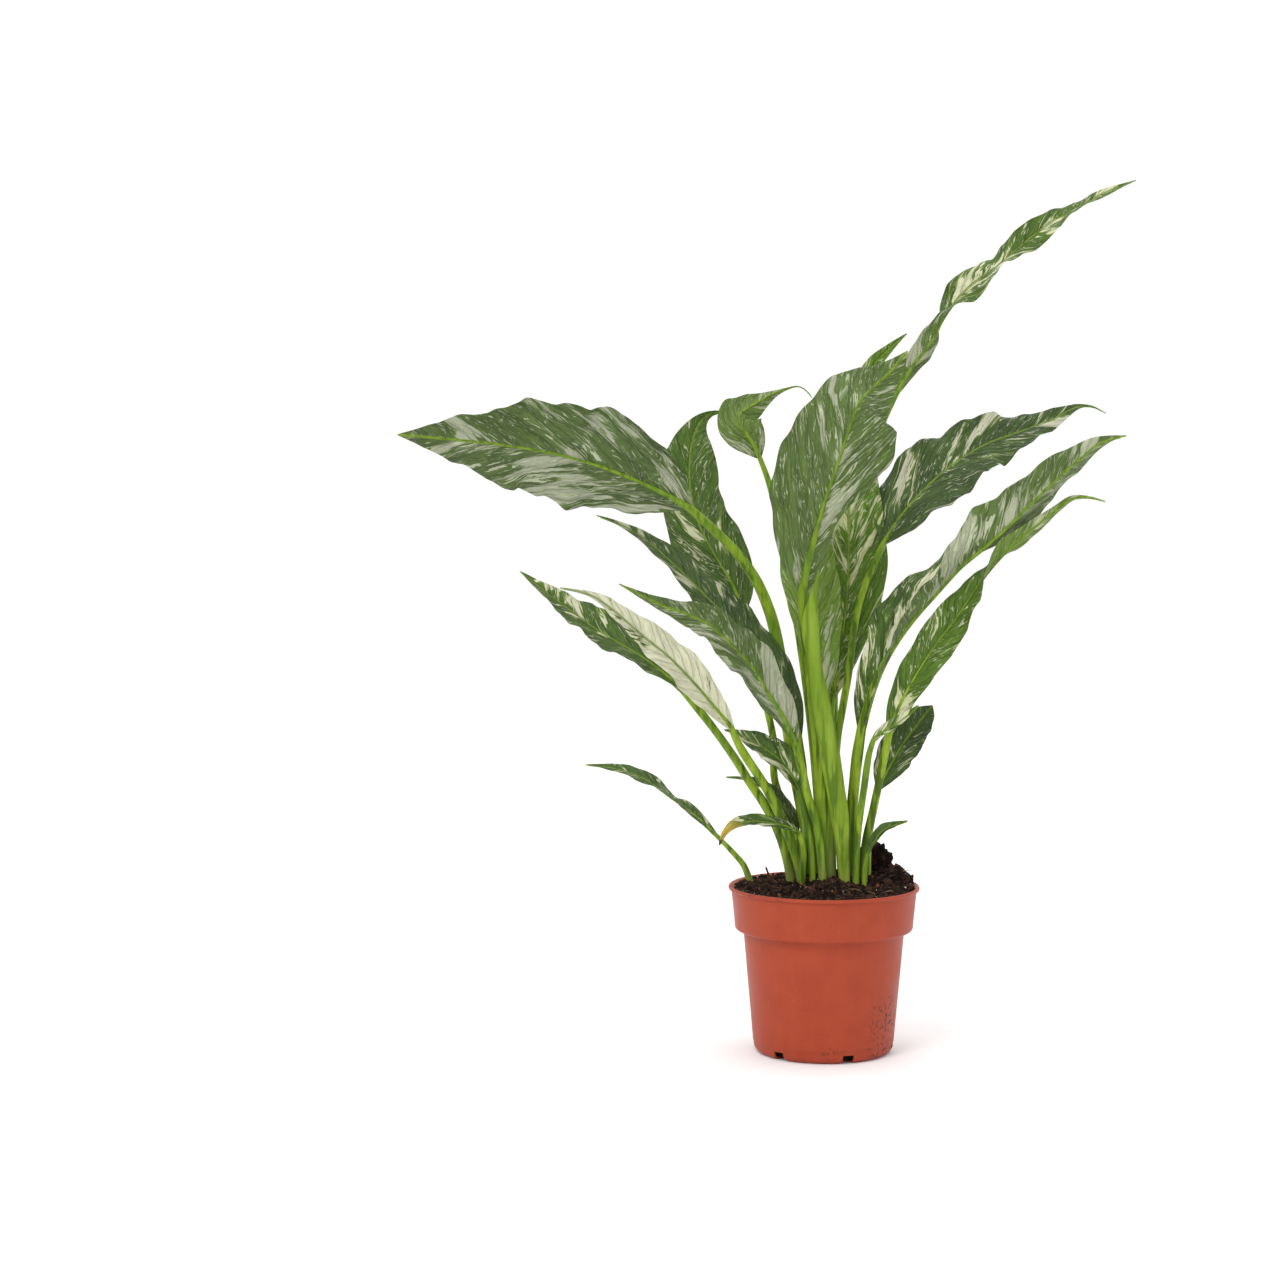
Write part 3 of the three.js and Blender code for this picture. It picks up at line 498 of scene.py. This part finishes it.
def makeBlade(name, line, seed):
    look = {**leafDefaults, **leafLooks[name]}
    centres, right, up, half, rise = line
    travelled = lengthsAlong(centres)
    length = travelled[-1]
    count = max(24, int(length / (bladeSettings["stepAlong"] * mm)))
    wanted = np.linspace(0, length, count)
    middle = smoothAt(travelled, centres, wanted) + smoothAt(travelled, up, wanted) * 0.5 * mm
    sideways = unit(smoothAt(travelled, right, wanted))
    upward = smoothAt(travelled, up, wanted)
    upward = unit(upward - sideways * (upward * sideways).sum(axis=1, keepdims=True))
    width = np.maximum(smoothAt(travelled, half, wanted), 0.25 * mm)
    lift = smoothAt(travelled, rise, wanted)
    u = wanted / length
    across = bladeSettings["across"] if width.max() > 8 * mm else bladeSettings["across"] // 2
    v = np.sin(np.linspace(-math.pi / 2, math.pi / 2, across + 1) * 0.92) / math.sin(math.pi / 2 * 0.92)
    U, V = np.meshgrid(u, v, indexing="ij")
    breadth = np.ones_like(U)
    for onSide, atU, reachU, strength in look["fuller"]:
        breadth *= 1 + strength * np.exp(-((U - atU) / reachU) ** 2) * (V * onSide >= 0)
    W, L = width[:, None] * breadth, lift[:, None]
    swell = np.sin(math.pi * np.clip(U, 0, 1)) ** 0.6
    rng = np.random.default_rng(seed)
    phases = rng.uniform(0, 2 * math.pi, 8)
    side = np.where(V >= 0, 1.0, -1.0)
    turn = 2 * math.pi * look["waves"] * U
    ripple = (np.sin(turn + phases[0] + side * phases[1]) + 0.5 * np.sin(2.3 * turn + phases[2] * side + phases[3])
              + 0.12 * np.sin(5.1 * turn + phases[4] + side))
    scallop = 1 + look["scallop"] * swell * np.abs(V) ** 3 * np.sin(1.7 * turn + phases[5] + side * phases[6])
    acrossMetres = V * W * scallop
    ym = np.abs(acrossMetres) / mm
    vein = U * length / mm - bladeSettings["veinLean"] * ym - bladeSettings["veinSweep"] * ym ** 2
    quilt = np.cos(2 * math.pi * vein / leafPattern["veinSpacing"])
    bulge = np.clip(4 * np.abs(V) * (1 - np.abs(V)), 0, 1)
    height = (L * np.abs(V) ** 1.4 + look["arch"] * W * np.sin(math.pi * np.abs(V)) * 1.2
              + look["wave"] * mm * swell * np.abs(V) ** 2.6 * ripple * np.clip(W / (14 * mm), 0.2, 1)
              - bladeSettings["quilt"] * mm * quilt * bulge * swell * np.clip(W / (12 * mm), 0, 1))
    sheet = middle[:, None, :] + sideways[:, None, :] * acrossMetres[..., None] + upward[:, None, :] * height[..., None]
    alongStep = np.gradient(sheet, axis=0)
    acrossStep = np.gradient(sheet, axis=1)
    normals = unit(np.cross(acrossStep, alongStep))
    normals[(normals * upward[:, None, :]).sum(axis=2) < 0] *= -1
    thick = (bladeSettings["edgeThickness"] + (bladeSettings["thickness"] - bladeSettings["edgeThickness"])
             * (1 - np.abs(V) ** 4)) * mm * np.clip(W / (4 * mm), 0.35, 1)
    top = sheet + normals * thick[..., None] / 2
    bottom = sheet - normals * thick[..., None] / 2
    rows, columns = top.shape[:2]
    points = [top.reshape(-1, 3), bottom[:, 1:-1].reshape(-1, 3)]  # the margins' points are shared
    points = np.concatenate(points)
    topId = np.arange(rows * columns).reshape(rows, columns)
    bottomId = np.empty_like(topId)
    bottomId[:, 0], bottomId[:, -1] = topId[:, 0], topId[:, -1]
    bottomId[:, 1:-1] = rows * columns + np.arange(rows * (columns - 2)).reshape(rows, columns - 2)
    faces, uvRows, materialIds = [], [], []
    uv = np.stack([vein * mm / leafPattern["unit"] + seed * 7.31, acrossMetres / leafPattern["unit"]], axis=-1)
    for i in range(rows - 1):
        for j in range(columns - 1):
            corners = [(i, j), (i, j + 1), (i + 1, j + 1), (i + 1, j)]
            faces.append([topId[c] for c in corners])
            uvRows += [uv[c] for c in corners]
            faces.append([bottomId[c] for c in corners[::-1]])
            uvRows += [uv[c] for c in corners[::-1]]
            materialIds += [0, 1]
    for i in (0, rows - 1):  # the two ends
        edge = [(i, j) for j in range(columns)]
        for j in range(columns - 1):
            corners = [topId[edge[j]], topId[edge[j + 1]], bottomId[edge[j + 1]], bottomId[edge[j]]]
            corners = list(dict.fromkeys(corners if i else corners[::-1]))
            if len(corners) > 2:
                faces.append(corners)
                uvRows += [uv[edge[j]]] * len(corners)
                materialIds.append(0)
    obj = meshPiece(name + "_leaf_blade", points, faces, [leafUpper, leafUnder])
    mesh = obj.data
    mesh.polygons.foreach_set("material_index", materialIds)
    layer = mesh.uv_layers.new(name="veins")
    layer.data.foreach_set("uv", np.array(uvRows, np.float32).ravel())
    pale = np.full_like(U, look["pale"])
    for atU, atV, reachU, reachV, strength in look["palePatches"]:
        pale += strength * np.exp(-((U - atU) / reachU) ** 2 - ((V - atV) / reachV) ** 2)
    freshness = np.clip(look["fresh"] + look["freshTip"] * U ** 2, 0, 1)
    yellow = look["yellow"] * np.clip(U * 2.2 - 1.2, 0, 1)
    # the fourth channel carries the painted shade
    state = np.stack([np.clip(pale, 0, 1.4), freshness, yellow, np.full_like(U, look["paintedShade"])], axis=-1)
    state = np.concatenate([state.reshape(-1, 4), state[:, 1:-1].reshape(-1, 4)])
    mesh.attributes.new("leafState", "FLOAT_COLOR", "POINT").data.foreach_set("color", state.astype(np.float32).ravel())
    repair = bmesh.new()
    repair.from_mesh(mesh)
    bmesh.ops.recalc_face_normals(repair, faces=repair.faces)
    repair.to_mesh(mesh)
    repair.free()
    return obj


def makeLeafWithStalk(name, seed):
    settings = stalkSettings
    stem, stemRadii = stemLine(name + "_stem")
    line = bladeLine(name + "_leaf", stem[-1])
    centres, _, up, half, _ = line
    travelled = lengthsAlong(centres)
    length = travelled[-1]
    stemLengths = lengthsAlong(stem)
    lower = np.linspace(0, stemLengths[-1], max(6, int(stemLengths[-1] / (settings["spacing"] * mm))))
    lowerPoints = smoothAt(stemLengths, stem, lower)
    lowerRadii = smoothAt(stemLengths, stemRadii, lower)
    fromTop = (stemLengths[-1] - lower) / (settings["jointLength"] * mm)
    lowerRadii = lowerRadii * (1 + settings["jointSwell"] * np.exp(-(fromTop - 0.8) ** 2 * 4))
    look = {**leafDefaults, **leafLooks[name]}
    slim = look["slim"]
    lowerRadii = lowerRadii * (1 - slim * (lower / stemLengths[-1]) ** 2)
    topRadius = float(stemRadii[-1]) * (1 - slim)
    upper = np.linspace(1.5 * mm, length * 0.985, max(12, int(length / (settings["spacing"] * mm))))
    share = upper / length
    fade = np.exp(-upper / (settings["fade"] * look["stout"] * mm))
    width = settings["midribWidth"] * mm * min(1.0, topRadius / (2.4 * mm))
    upperRadii = settings["midribTip"] * mm + (width - settings["midribTip"] * mm) * (1 - share)
    upperRadii = upperRadii + (topRadius - width) * fade
    drop = (1 - fade) * upperRadii * 0.55
    upperPoints = smoothAt(travelled, centres, upper) + smoothAt(travelled, up, upper) * (0.5 * mm - drop)[:, None]
    path = np.concatenate([lowerPoints, upperPoints])
    radii = np.concatenate([lowerRadii, upperRadii])
    sides = settings["sides"] if topRadius > 1.5 * mm else settings["sides"] // 2
    stalk = makeStalk(name + "_petiole", path, radii, petioleSkin, sides)
    finishPiece(stalk, "stem_green", name + "_stem")
    blade = makeBlade(name, line, seed)
    finishPiece(blade, "leaf_green", name + "_leaf")
    return stalk, blade


for number, leafName in enumerate(leafLooks):
    makeLeafWithStalk(leafName, number + 3)
print("leaves made:", len(leafLooks))


shootSettings = {"turns": 0.35, "overlap": 0.2, "around": 36, "spacing": 2.0, "broad": 0.3, "flat": 0.2,
                 "lean": 2.0, "tipBroad": 1.3, "tipAt": 0.86, "tipReach": 0.09, "tipLean": 1.5}  # mm for spacing and the leans


def makeShoot():
    centres, radii = stemLine("new_shoot")
    travelled = lengthsAlong(centres)
    rows = int(travelled[-1] / (shootSettings["spacing"] * mm))
    wanted = np.linspace(0, travelled[-1], rows)
    path = smoothAt(travelled, centres, wanted)
    radius = np.maximum(smoothAt(travelled, radii, wanted), 0.3 * mm)
    forward = unit(np.gradient(path, axis=0))
    front = np.array([0.0, -1.0, 0.0]) - forward * forward[:, 1:2] * -1.0
    front = unit(front)
    beside = np.cross(forward, front)
    around = shootSettings["around"]
    angles = np.linspace(0, 2 * math.pi, around, endpoint=False)
    points, along = [], []
    for i in range(rows):
        share = i / (rows - 1)
        start = 2 * math.pi * shootSettings["turns"] * share + 0.6
        step = shootSettings["overlap"] * min(1.0, 3.0 * share)
        for angle in angles:
            r = radius[i] * (1 - step * (angle / (2 * math.pi)) + 0.02 * math.sin(7 * angle + 9 * share))
            turned = angle + start
            breadth = math.sin(math.pi * min(1.0, share * 1.1)) ** 0.8
            towardFront = r * (1 - shootSettings["flat"] * breadth) * math.cos(turned)
            tip = math.exp(-((share - shootSettings["tipAt"]) / shootSettings["tipReach"]) ** 2)
            sideways = r * (1 + shootSettings["broad"] * breadth + shootSettings["tipBroad"] * tip) * math.sin(turned)
            aside = (shootSettings["lean"] * breadth + shootSettings["tipLean"] * tip) * mm
            middle = path[i] - np.array([aside, 0.0, 0.0])
            points.append(middle + front[i] * towardFront + beside[i] * sideways)
            along.append(share)
    faces = [[i * around + j, i * around + (j + 1) % around, (i + 1) * around + (j + 1) % around, (i + 1) * around + j]
             for i in range(rows - 1) for j in range(around)]
    faces.append(list(range(around))[::-1])
    faces.append([(rows - 1) * around + j for j in range(around)])
    shoot = meshPiece("new_shoot_rolled", points, faces, [shootSkin])
    shoot.data.attributes.new("along", "FLOAT", "POINT").data.foreach_set("value", np.array(along, np.float32))
    repair = bmesh.new()
    repair.from_mesh(shoot.data)
    bmesh.ops.recalc_face_normals(repair, faces=repair.faces)
    repair.to_mesh(shoot.data)
    repair.free()
    return finishPiece(shoot, "stem_green", "new_shoot")


makeShoot()
print("shoot made")


potLow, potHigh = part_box("pot")
potSettings = {"segments": 192, "rim": (potHigh.x - potLow.x) / 2, "height": potHigh.z, "wall": 1.2 * mm,
               "bandTop": 58 * mm, "bandFoot": 56 * mm, "bandHeight": 77 * mm, "bodyTop": 50.3 * mm, "foot": 43.4 * mm,
               "corner": 5 * mm, "notches": 6, "notchWidth": 8 * mm, "notchHeight": 5.5 * mm, "firstNotch": -39}


def arc(centreR, centreZ, radius, fromDegrees, toDegrees, steps):
    angles = [math.radians(fromDegrees + (toDegrees - fromDegrees) * i / steps) for i in range(steps + 1)]
    return [(centreR + radius * math.cos(a), centreZ + radius * math.sin(a)) for a in angles]


def potProfile():
    # from the middle of the underside, up the outside, over the lip and down the inside
    s = potSettings
    wall, top, corner = s["wall"], s["height"], s["corner"]

    def bodyRadius(z):
        return s["foot"] + (s["bodyTop"] - s["foot"]) * z / s["bandHeight"]

    outside = [(0.0, 0.0), (0.02, 0.0), (bodyRadius(corner) - corner - 1.5 * mm, 0.0)]
    outside += arc(bodyRadius(corner) - corner, corner, corner, -90, 0, 10)
    outside += [(bodyRadius(7 * mm) + 0.05 * mm, 7 * mm), (bodyRadius(7.4 * mm) + 0.28 * mm, 7.4 * mm)]
    for z in np.linspace(10 * mm, s["bandHeight"] - 2 * mm, 16):
        outside.append((bodyRadius(z) + 0.25 * mm, z))
    outside += arc(bodyRadius(s["bandHeight"]) + 1.6 * mm, s["bandHeight"] - 1.1 * mm, 1.3 * mm, 180, 90, 5)
    outside += arc(s["bandFoot"] - 2.4 * mm, s["bandHeight"] + 2.6 * mm, 2.4 * mm, -88, 0, 8)
    outside += [(s["bandFoot"] + (s["bandTop"] - s["bandFoot"]) * k / 6, s["bandHeight"] + 4 * mm + 19.5 * mm * k / 6)
                for k in range(1, 7)]
    outside += arc(s["bandTop"] + 0.6 * mm, top - 3.3 * mm, 0.6 * mm, 180, 90, 3)
    outside += arc(s["rim"] - 1.15 * mm, top - 1.35 * mm, 1.15 * mm, -80, 0, 5)
    outside += arc(s["rim"] - 1.15 * mm, top - 1.15 * mm, 1.15 * mm, 0, 100, 7)
    inside = [(s["bandTop"] - wall, top - 1.2 * mm), (s["bandTop"] - wall - 0.3 * mm, top - 4 * mm),
              (s["bandFoot"] - wall, s["bandHeight"] + 3.8 * mm), (s["bandFoot"] - wall - 1.4 * mm, s["bandHeight"] + 2 * mm),
              (bodyRadius(s["bandHeight"]) - wall + 0.6 * mm, s["bandHeight"] + 1.2 * mm),
              (bodyRadius(s["bandHeight"]) - wall, s["bandHeight"] - 0.8 * mm)]
    inside += arc(bodyRadius(corner) - corner, corner, corner - wall, 0, -90, 6)
    return outside + inside + [(0.0, wall)]


def lathe(name, profile, segments, materials):
    points, faces, rings = [], [], []
    for r, z in profile:
        if r < 1e-6:
            rings.append([len(points)] * segments)
            points.append((0, 0, z))
        else:
            rings.append(list(range(len(points), len(points) + segments)))
            points += [(r * math.cos(a), r * math.sin(a), z) for a in np.linspace(0, 2 * math.pi, segments, endpoint=False)]
    for low, high in zip(rings, rings[1:]):
        for j in range(segments):
            k = (j + 1) % segments
            corners = list(dict.fromkeys([low[j], low[k], high[k], high[j]]))
            faces.append(corners)
    return meshPiece(name, points, faces, materials)


def makeNotchCutters():
    s = potSettings
    cutter = bmesh.new()
    for i in range(s["notches"]):
        around = math.radians(s["firstNotch"] + 360 * i / s["notches"])
        made = bmesh.ops.create_cube(cutter, size=1.0)["verts"]
        for vertex in made:
            x = vertex.co.x * s["notchWidth"] * (0.88 if vertex.co.z > 0 else 1.0)
            y = -s["foot"] + 2 * mm + vertex.co.y * 14 * mm
            z = vertex.co.z * 2 * s["notchHeight"]
            vertex.co = (x * math.cos(around) - y * math.sin(around), x * math.sin(around) + y * math.cos(around), z)
    mesh = bpy.data.meshes.new("notchCutters")
    cutter.to_mesh(mesh)
    cutter.free()
    mesh.materials.append(potPlastic)
    obj = bpy.data.objects.new("notchCutters", mesh)
    bpy.context.scene.collection.objects.link(obj)
    return obj


def makePot():
    pot = lathe("potBlank", potProfile(), potSettings["segments"], [potPlastic])
    cutters = makeNotchCutters()
    cut = pot.modifiers.new("notches", "BOOLEAN")
    cut.operation, cut.solver, cut.object = "DIFFERENCE", "EXACT", cutters
    made = plainMesh(pot, "nursery_pot")
    bpy.data.objects.remove(cutters)
    repair = bmesh.new()
    repair.from_mesh(made.data)
    bmesh.ops.remove_doubles(repair, verts=repair.verts, dist=1e-6)
    bmesh.ops.recalc_face_normals(repair, faces=repair.faces)
    repair.to_mesh(made.data)
    repair.free()
    made.data.polygons.foreach_set("use_smooth", [True] * len(made.data.polygons))
    made.data.set_sharp_from_angle(angle=math.radians(38))
    return finishPiece(made, "pot_plastic", "pot")


makePot()
print("pot made")


soilSettings = {"rings": 70, "segments": 220, "lump": 2.3, "grain": 0.8, "crumbs": 260000.0, "crumbSize": 1.5,
                "fibres": 26000.0, "fibreLength": 7.0, "grit": 9000.0, "gritSize": 1.1, "seed": 4,
                "heap": {"place": (0.044, 0.012), "spread": 9.0, "height": 3.5}}  # per m2 and mm, places in metres


def soilHeights():
    points, triangles = weldedNode("soil")
    return BVHTree.FromPolygons([Vector(p) for p in points], [list(map(int, t)) for t in triangles])


def makeSoil():
    s = soilSettings
    surface = soilHeights()
    low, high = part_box("soil")
    reach = (high.x - low.x) / 2
    points, faces = [], []
    rings = s["rings"]
    segments = s["segments"]
    level = []
    for i in range(1, rings + 1):
        r = reach * (i / rings) ** 0.9
        for j in range(segments):
            a = 2 * math.pi * j / segments
            x, y = r * math.cos(a), r * math.sin(a)
            inner = min(1.0, (reach - 1.2 * mm) / r)
            heights = []
            for dx, dy in ((0, 0), (3, 0), (-3, 0), (0, 3), (0, -3)):
                hit = surface.ray_cast(Vector((x * inner + dx * mm, y * inner + dy * mm, high.z + 0.02)), Vector((0, 0, -1)))[0]
                if hit is not None and hit.z > high.z - 0.016:
                    heights.append(hit.z)
            z = float(np.median(heights)) if heights else low.z + 0.1017
            lump = noise.fractal(Vector((x, y, 0)) * 125, 0.9, 2.1, 4) * s["lump"] * mm
            grain = noise.fractal(Vector((x, y, 3)) * 700, 0.8, 2.0, 3) * s["grain"] * mm
            level.append(z)
            offHeap = math.hypot(x - s["heap"]["place"][0], y - s["heap"]["place"][1]) / (s["heap"]["spread"] * mm)
            heap = s["heap"]["height"] * mm * math.exp(-offHeap ** 2 / 2)
            points.append((x, y, z + lump + grain + heap))
    smoothed = np.array(level).reshape(rings, segments)
    for _ in range(3):
        smoothed = (smoothed + np.roll(smoothed, 1, 1) + np.roll(smoothed, -1, 1)
                    + np.vstack([smoothed[1:], smoothed[-1:]]) + np.vstack([smoothed[:1], smoothed[:-1]])) / 5
    change = smoothed.ravel() - np.array(level)
    points = [(x, y, z + c) for (x, y, z), c in zip(points, change)]
    centre = len(points)
    points.append((0, 0, float(smoothed[0].mean())))
    for j in range(segments):
        k = (j + 1) % segments
        faces.append([centre, j, k])
        for i in range(rings - 1):
            faces.append([i * segments + j, (i + 1) * segments + j, (i + 1) * segments + k, i * segments + k])
    topFaces = len(faces)
    # the sides and the floor follow the inside of the pot
    foot = [(reach, potSettings["bandHeight"] + 6 * mm), (potSettings["bodyTop"] - 1.8 * mm, potSettings["bandHeight"] - 1 * mm),
            (potSettings["foot"] - 4.5 * mm, low.z + 0.2 * mm)]
    last = (rings - 1) * segments
    for r, z in foot:
        start = len(points)
        points += [(r * math.cos(2 * math.pi * j / segments), r * math.sin(2 * math.pi * j / segments), z) for j in range(segments)]
        for j in range(segments):
            k = (j + 1) % segments
            faces.append([last + j, start + j, start + k, last + k])
        last = start
    faces.append([last + j for j in range(segments)][::-1])
    soil = meshPiece("potting_mix", points, faces, [peat])
    top = meshPiece("crumbBed", points, faces[:topFaces], [peat])
    return finishPiece(soil, "soil_peat", "soil"), top


def makeScatterTree(name, shape):
    # copies of a small shape strewn over a surface
    tree, given = newTree(name, [
        ("Geometry", "NodeSocketGeometry", None), ("Density", "NodeSocketFloat", 1.0), ("Size", "NodeSocketFloat", 1.0),
        ("Seed", "NodeSocketInt", 0), ("Shape", "NodeSocketObject", None), ("Skin", "NodeSocketMaterial", None)])
    spots = addNode(tree, "GeometryNodeDistributePointsOnFaces", {
        "Mesh": given["Geometry"], "Density": given["Density"], "Seed": given["Seed"]}, distribute_method="RANDOM").outputs[0]
    copy = addNode(tree, "GeometryNodeObjectInfo", {"Object": given["Shape"]}).outputs["Geometry"]
    turn = addNode(tree, "FunctionNodeRandomValue", {0: (0.0, 0.0, 0.0), 1: (6.28, 6.28, 6.28), "Seed": 1},
                   data_type="FLOAT_VECTOR").outputs[0]
    if shape == "lying":
        turn = addNode(tree, "FunctionNodeRandomValue", {0: (-0.5, -0.5, 0.0), 1: (0.5, 0.5, 6.28), "Seed": 1},
                       data_type="FLOAT_VECTOR").outputs[0]
    even = addNode(tree, "FunctionNodeRandomValue", {2: 0.0, 3: 1.0, "Seed": 2}, data_type="FLOAT").outputs[1]
    skewed = addNode(tree, "ShaderNodeMath", {0: even, 1: 2.6}, operation="POWER").outputs[0]
    size = addNode(tree, "ShaderNodeMath", {0: skewed, 1: 1.5, 2: 0.45}, operation="MULTIPLY_ADD").outputs[0]
    size = addNode(tree, "ShaderNodeMath", {0: size, 1: given["Size"]}, operation="MULTIPLY").outputs[0]
    strewn = addNode(tree, "GeometryNodeInstanceOnPoints", {
        "Points": spots, "Instance": copy, "Rotation": turn, "Scale": size}).outputs[0]
    tone = addNode(tree, "FunctionNodeRandomValue", {2: 0.0, 3: 1.0, "Seed": 5}, data_type="FLOAT").outputs[1]
    toned = addNode(tree, "GeometryNodeStoreNamedAttribute", {"Geometry": strewn, "Name": "tint", "Value": tone},
                    data_type="FLOAT", domain="INSTANCE").outputs[0]
    endTree(tree, toned, given["Skin"])
    return tree


def roughBall(name, seed, squash, detail=1):
    ball = bmesh.new()
    bmesh.ops.create_icosphere(ball, subdivisions=detail, radius=0.5)
    for vertex in ball.verts:
        push = 1 + 0.55 * noise.noise(vertex.co * 2.6 + Vector((seed, 0, 0)))
        vertex.co = Vector((vertex.co.x * squash[0], vertex.co.y * squash[1], vertex.co.z * squash[2])) * push
    mesh = bpy.data.meshes.new(name)
    ball.to_mesh(mesh)
    ball.free()
    obj = bpy.data.objects.new(name, mesh)
    bpy.context.scene.collection.objects.link(obj)
    return obj


def fibreShape(name, bend, width):
    # a thin bent strand of unit length
    points, faces = [], []
    steps, sides = 7, 4
    for i in range(steps + 1):
        t = i / steps
        r = width * (1 - 0.6 * abs(2 * t - 1))
        for j in range(sides):
            a = 2 * math.pi * j / sides
            points.append((t - 0.5, bend * math.sin(math.pi * t) + r * math.cos(a),
                           0.25 * bend * math.sin(5 * t) + r * math.sin(a)))
    for i in range(steps):
        for j in range(sides):
            k = (j + 1) % sides
            faces.append([i * sides + j, (i + 1) * sides + j, (i + 1) * sides + k, i * sides + k])
    faces += [[0, 1, 2, 3], [steps * sides + j for j in (3, 2, 1, 0)]]
    return meshPiece(name, points, faces, [])


def strew(bed, name, tree, shape, values):
    copy = bed.copy()
    copy.data = bed.data.copy()
    bpy.context.scene.collection.objects.link(copy)
    runTree(copy, tree, {"Shape": shape, **values})
    bpy.context.view_layer.update()
    made = plainMesh(copy, name)
    made.data.polygons.foreach_set("use_smooth", [False] * len(made.data.polygons))
    bpy.data.objects.remove(shape)
    return made


crumbTree = makeScatterTree("strewnCrumbs", "any")
fibreTree = makeScatterTree("strewnFibres", "lying")
soil, crumbBed = makeSoil()
s = soilSettings
finishPiece(strew(crumbBed, "peat_crumbs", crumbTree, roughBall("crumbShape", 3, (1.1, 0.9, 0.75)), {
    "Density": s["crumbs"], "Size": s["crumbSize"] * mm, "Seed": s["seed"], "Skin": crumbPeat}), "soil_peat")
finishPiece(strew(crumbBed, "peat_lumps", crumbTree, roughBall("lumpShape", 8, (1.0, 0.8, 0.7), 2), {
    "Density": 22000.0, "Size": 3.6 * mm, "Seed": s["seed"] + 5, "Skin": crumbPeat}), "soil_peat")
finishPiece(strew(crumbBed, "peat_fibres", fibreTree, fibreShape("fibreStrand", 0.16, 0.022), {
    "Density": s["fibres"], "Size": s["fibreLength"] * mm, "Seed": s["seed"] + 1, "Skin": fibrePeat}), "soil_peat")
finishPiece(strew(crumbBed, "bark_crumbs", crumbTree, roughBall("chipShape", 5, (1.5, 0.8, 0.45)), {
    "Density": 6000.0, "Size": 2.4 * mm, "Seed": s["seed"] + 2, "Skin": barkWood}), "bark_wood")
finishPiece(strew(crumbBed, "grit_specks", crumbTree, roughBall("gritShape", 9, (1.0, 0.9, 0.8)), {
    "Density": s["grit"], "Size": s["gritSize"] * mm, "Seed": s["seed"] + 3, "Skin": paleGrit}), "soil_peat")
bpy.data.objects.remove(crumbBed)
print("potting mix made")


def roughPiece(node, name, material, slotName, detail, roughness, frequency, grow=1.0):
    low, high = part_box(node)
    centre, size = (low + high) / 2, (high - low) / 2 * grow
    ball = bmesh.new()
    bmesh.ops.create_icosphere(ball, subdivisions=detail, radius=1.0)
    for vertex in ball.verts:
        direction = vertex.co.normalized()
        push = 1 + roughness * noise.fractal(direction * frequency, 0.7, 2.2, 5)
        vertex.co = centre + Vector(direction[i] * size[i] * push for i in range(3))
    mesh = bpy.data.meshes.new(name)
    ball.to_mesh(mesh)
    ball.free()
    mesh.materials.append(material)
    obj = bpy.data.objects.new(name, mesh)
    bpy.context.scene.collection.objects.link(obj)
    return finishPiece(obj, slotName, node)


roughPiece("peat_lump", "peat_lump_rough", peat, "soil_peat", 5, 0.32, 2.3, 1.15)
roughPiece("bark_chip", "bark_chip_rough", barkWood, "bark_wood", 4, 0.22, 1.8)
twigLine, twigRadii = stemLine("twig")
finishPiece(makeStalk("twig_stick", twigLine, twigRadii, barkWood, 8), "bark_wood", "twig")
print("loose bits made")


stageSettings = {"floor": "#fcfcfc", "reach": 30.0}


def makeStage():
    r = stageSettings["reach"]
    material, _, _ = startMaterial("palePaper", Base_Color=linear(stageSettings["floor"]), Roughness=0.9,
                                   Specular_IOR_Level=0.2)
    floor = meshPiece("studio_floor", [(-r, -r, 0), (r, -r, 0), (r, r, 0), (-r, r, 0)], [[0, 1, 2, 3]], [material])


def addAreaLight(name, place, target, size, power):
    light = bpy.data.lights.new(name, "AREA")
    light.shape, light.size, light.energy = "DISK", size, power
    obj = bpy.data.objects.new(name, light)
    obj.location = place
    obj.rotation_euler = (Vector(target) - Vector(place)).to_track_quat("-Z", "Y").to_euler()
    bpy.context.scene.collection.objects.link(obj)


makeStage()
middle = (0.0, 0.0, 0.28)
addAreaLight("keyLight", (-0.9, -1.6, 1.9), middle, 1.0, 18.0)
addAreaLight("topLight", (0.1, 0.4, 2.1), middle, 1.2, 7.0)
world = bpy.data.worlds.new("softStudio")
world.use_nodes = True
world.node_tree.nodes["Background"].inputs[0].default_value = (1.0, 1.0, 1.0, 1.0)
world.node_tree.nodes["Background"].inputs[1].default_value = 1.05
bpy.context.scene.world = world
bpy.context.scene.view_settings.view_transform = "Standard"

cameraSettings = {"place": (0.0, -1.7, 0.375), "down": 3.9, "left": 3.9, "lens": 76.5}
camera = bpy.data.objects.new("camera", bpy.data.cameras.new("camera"))
camera.location = cameraSettings["place"]
camera.rotation_euler = (math.radians(90 - cameraSettings["down"]), 0.0, math.radians(cameraSettings["left"]))
camera.data.lens = cameraSettings["lens"]
camera.data.sensor_width = 36.0
bpy.context.scene.collection.objects.link(camera)
bpy.context.scene.camera = camera
print("stage set")
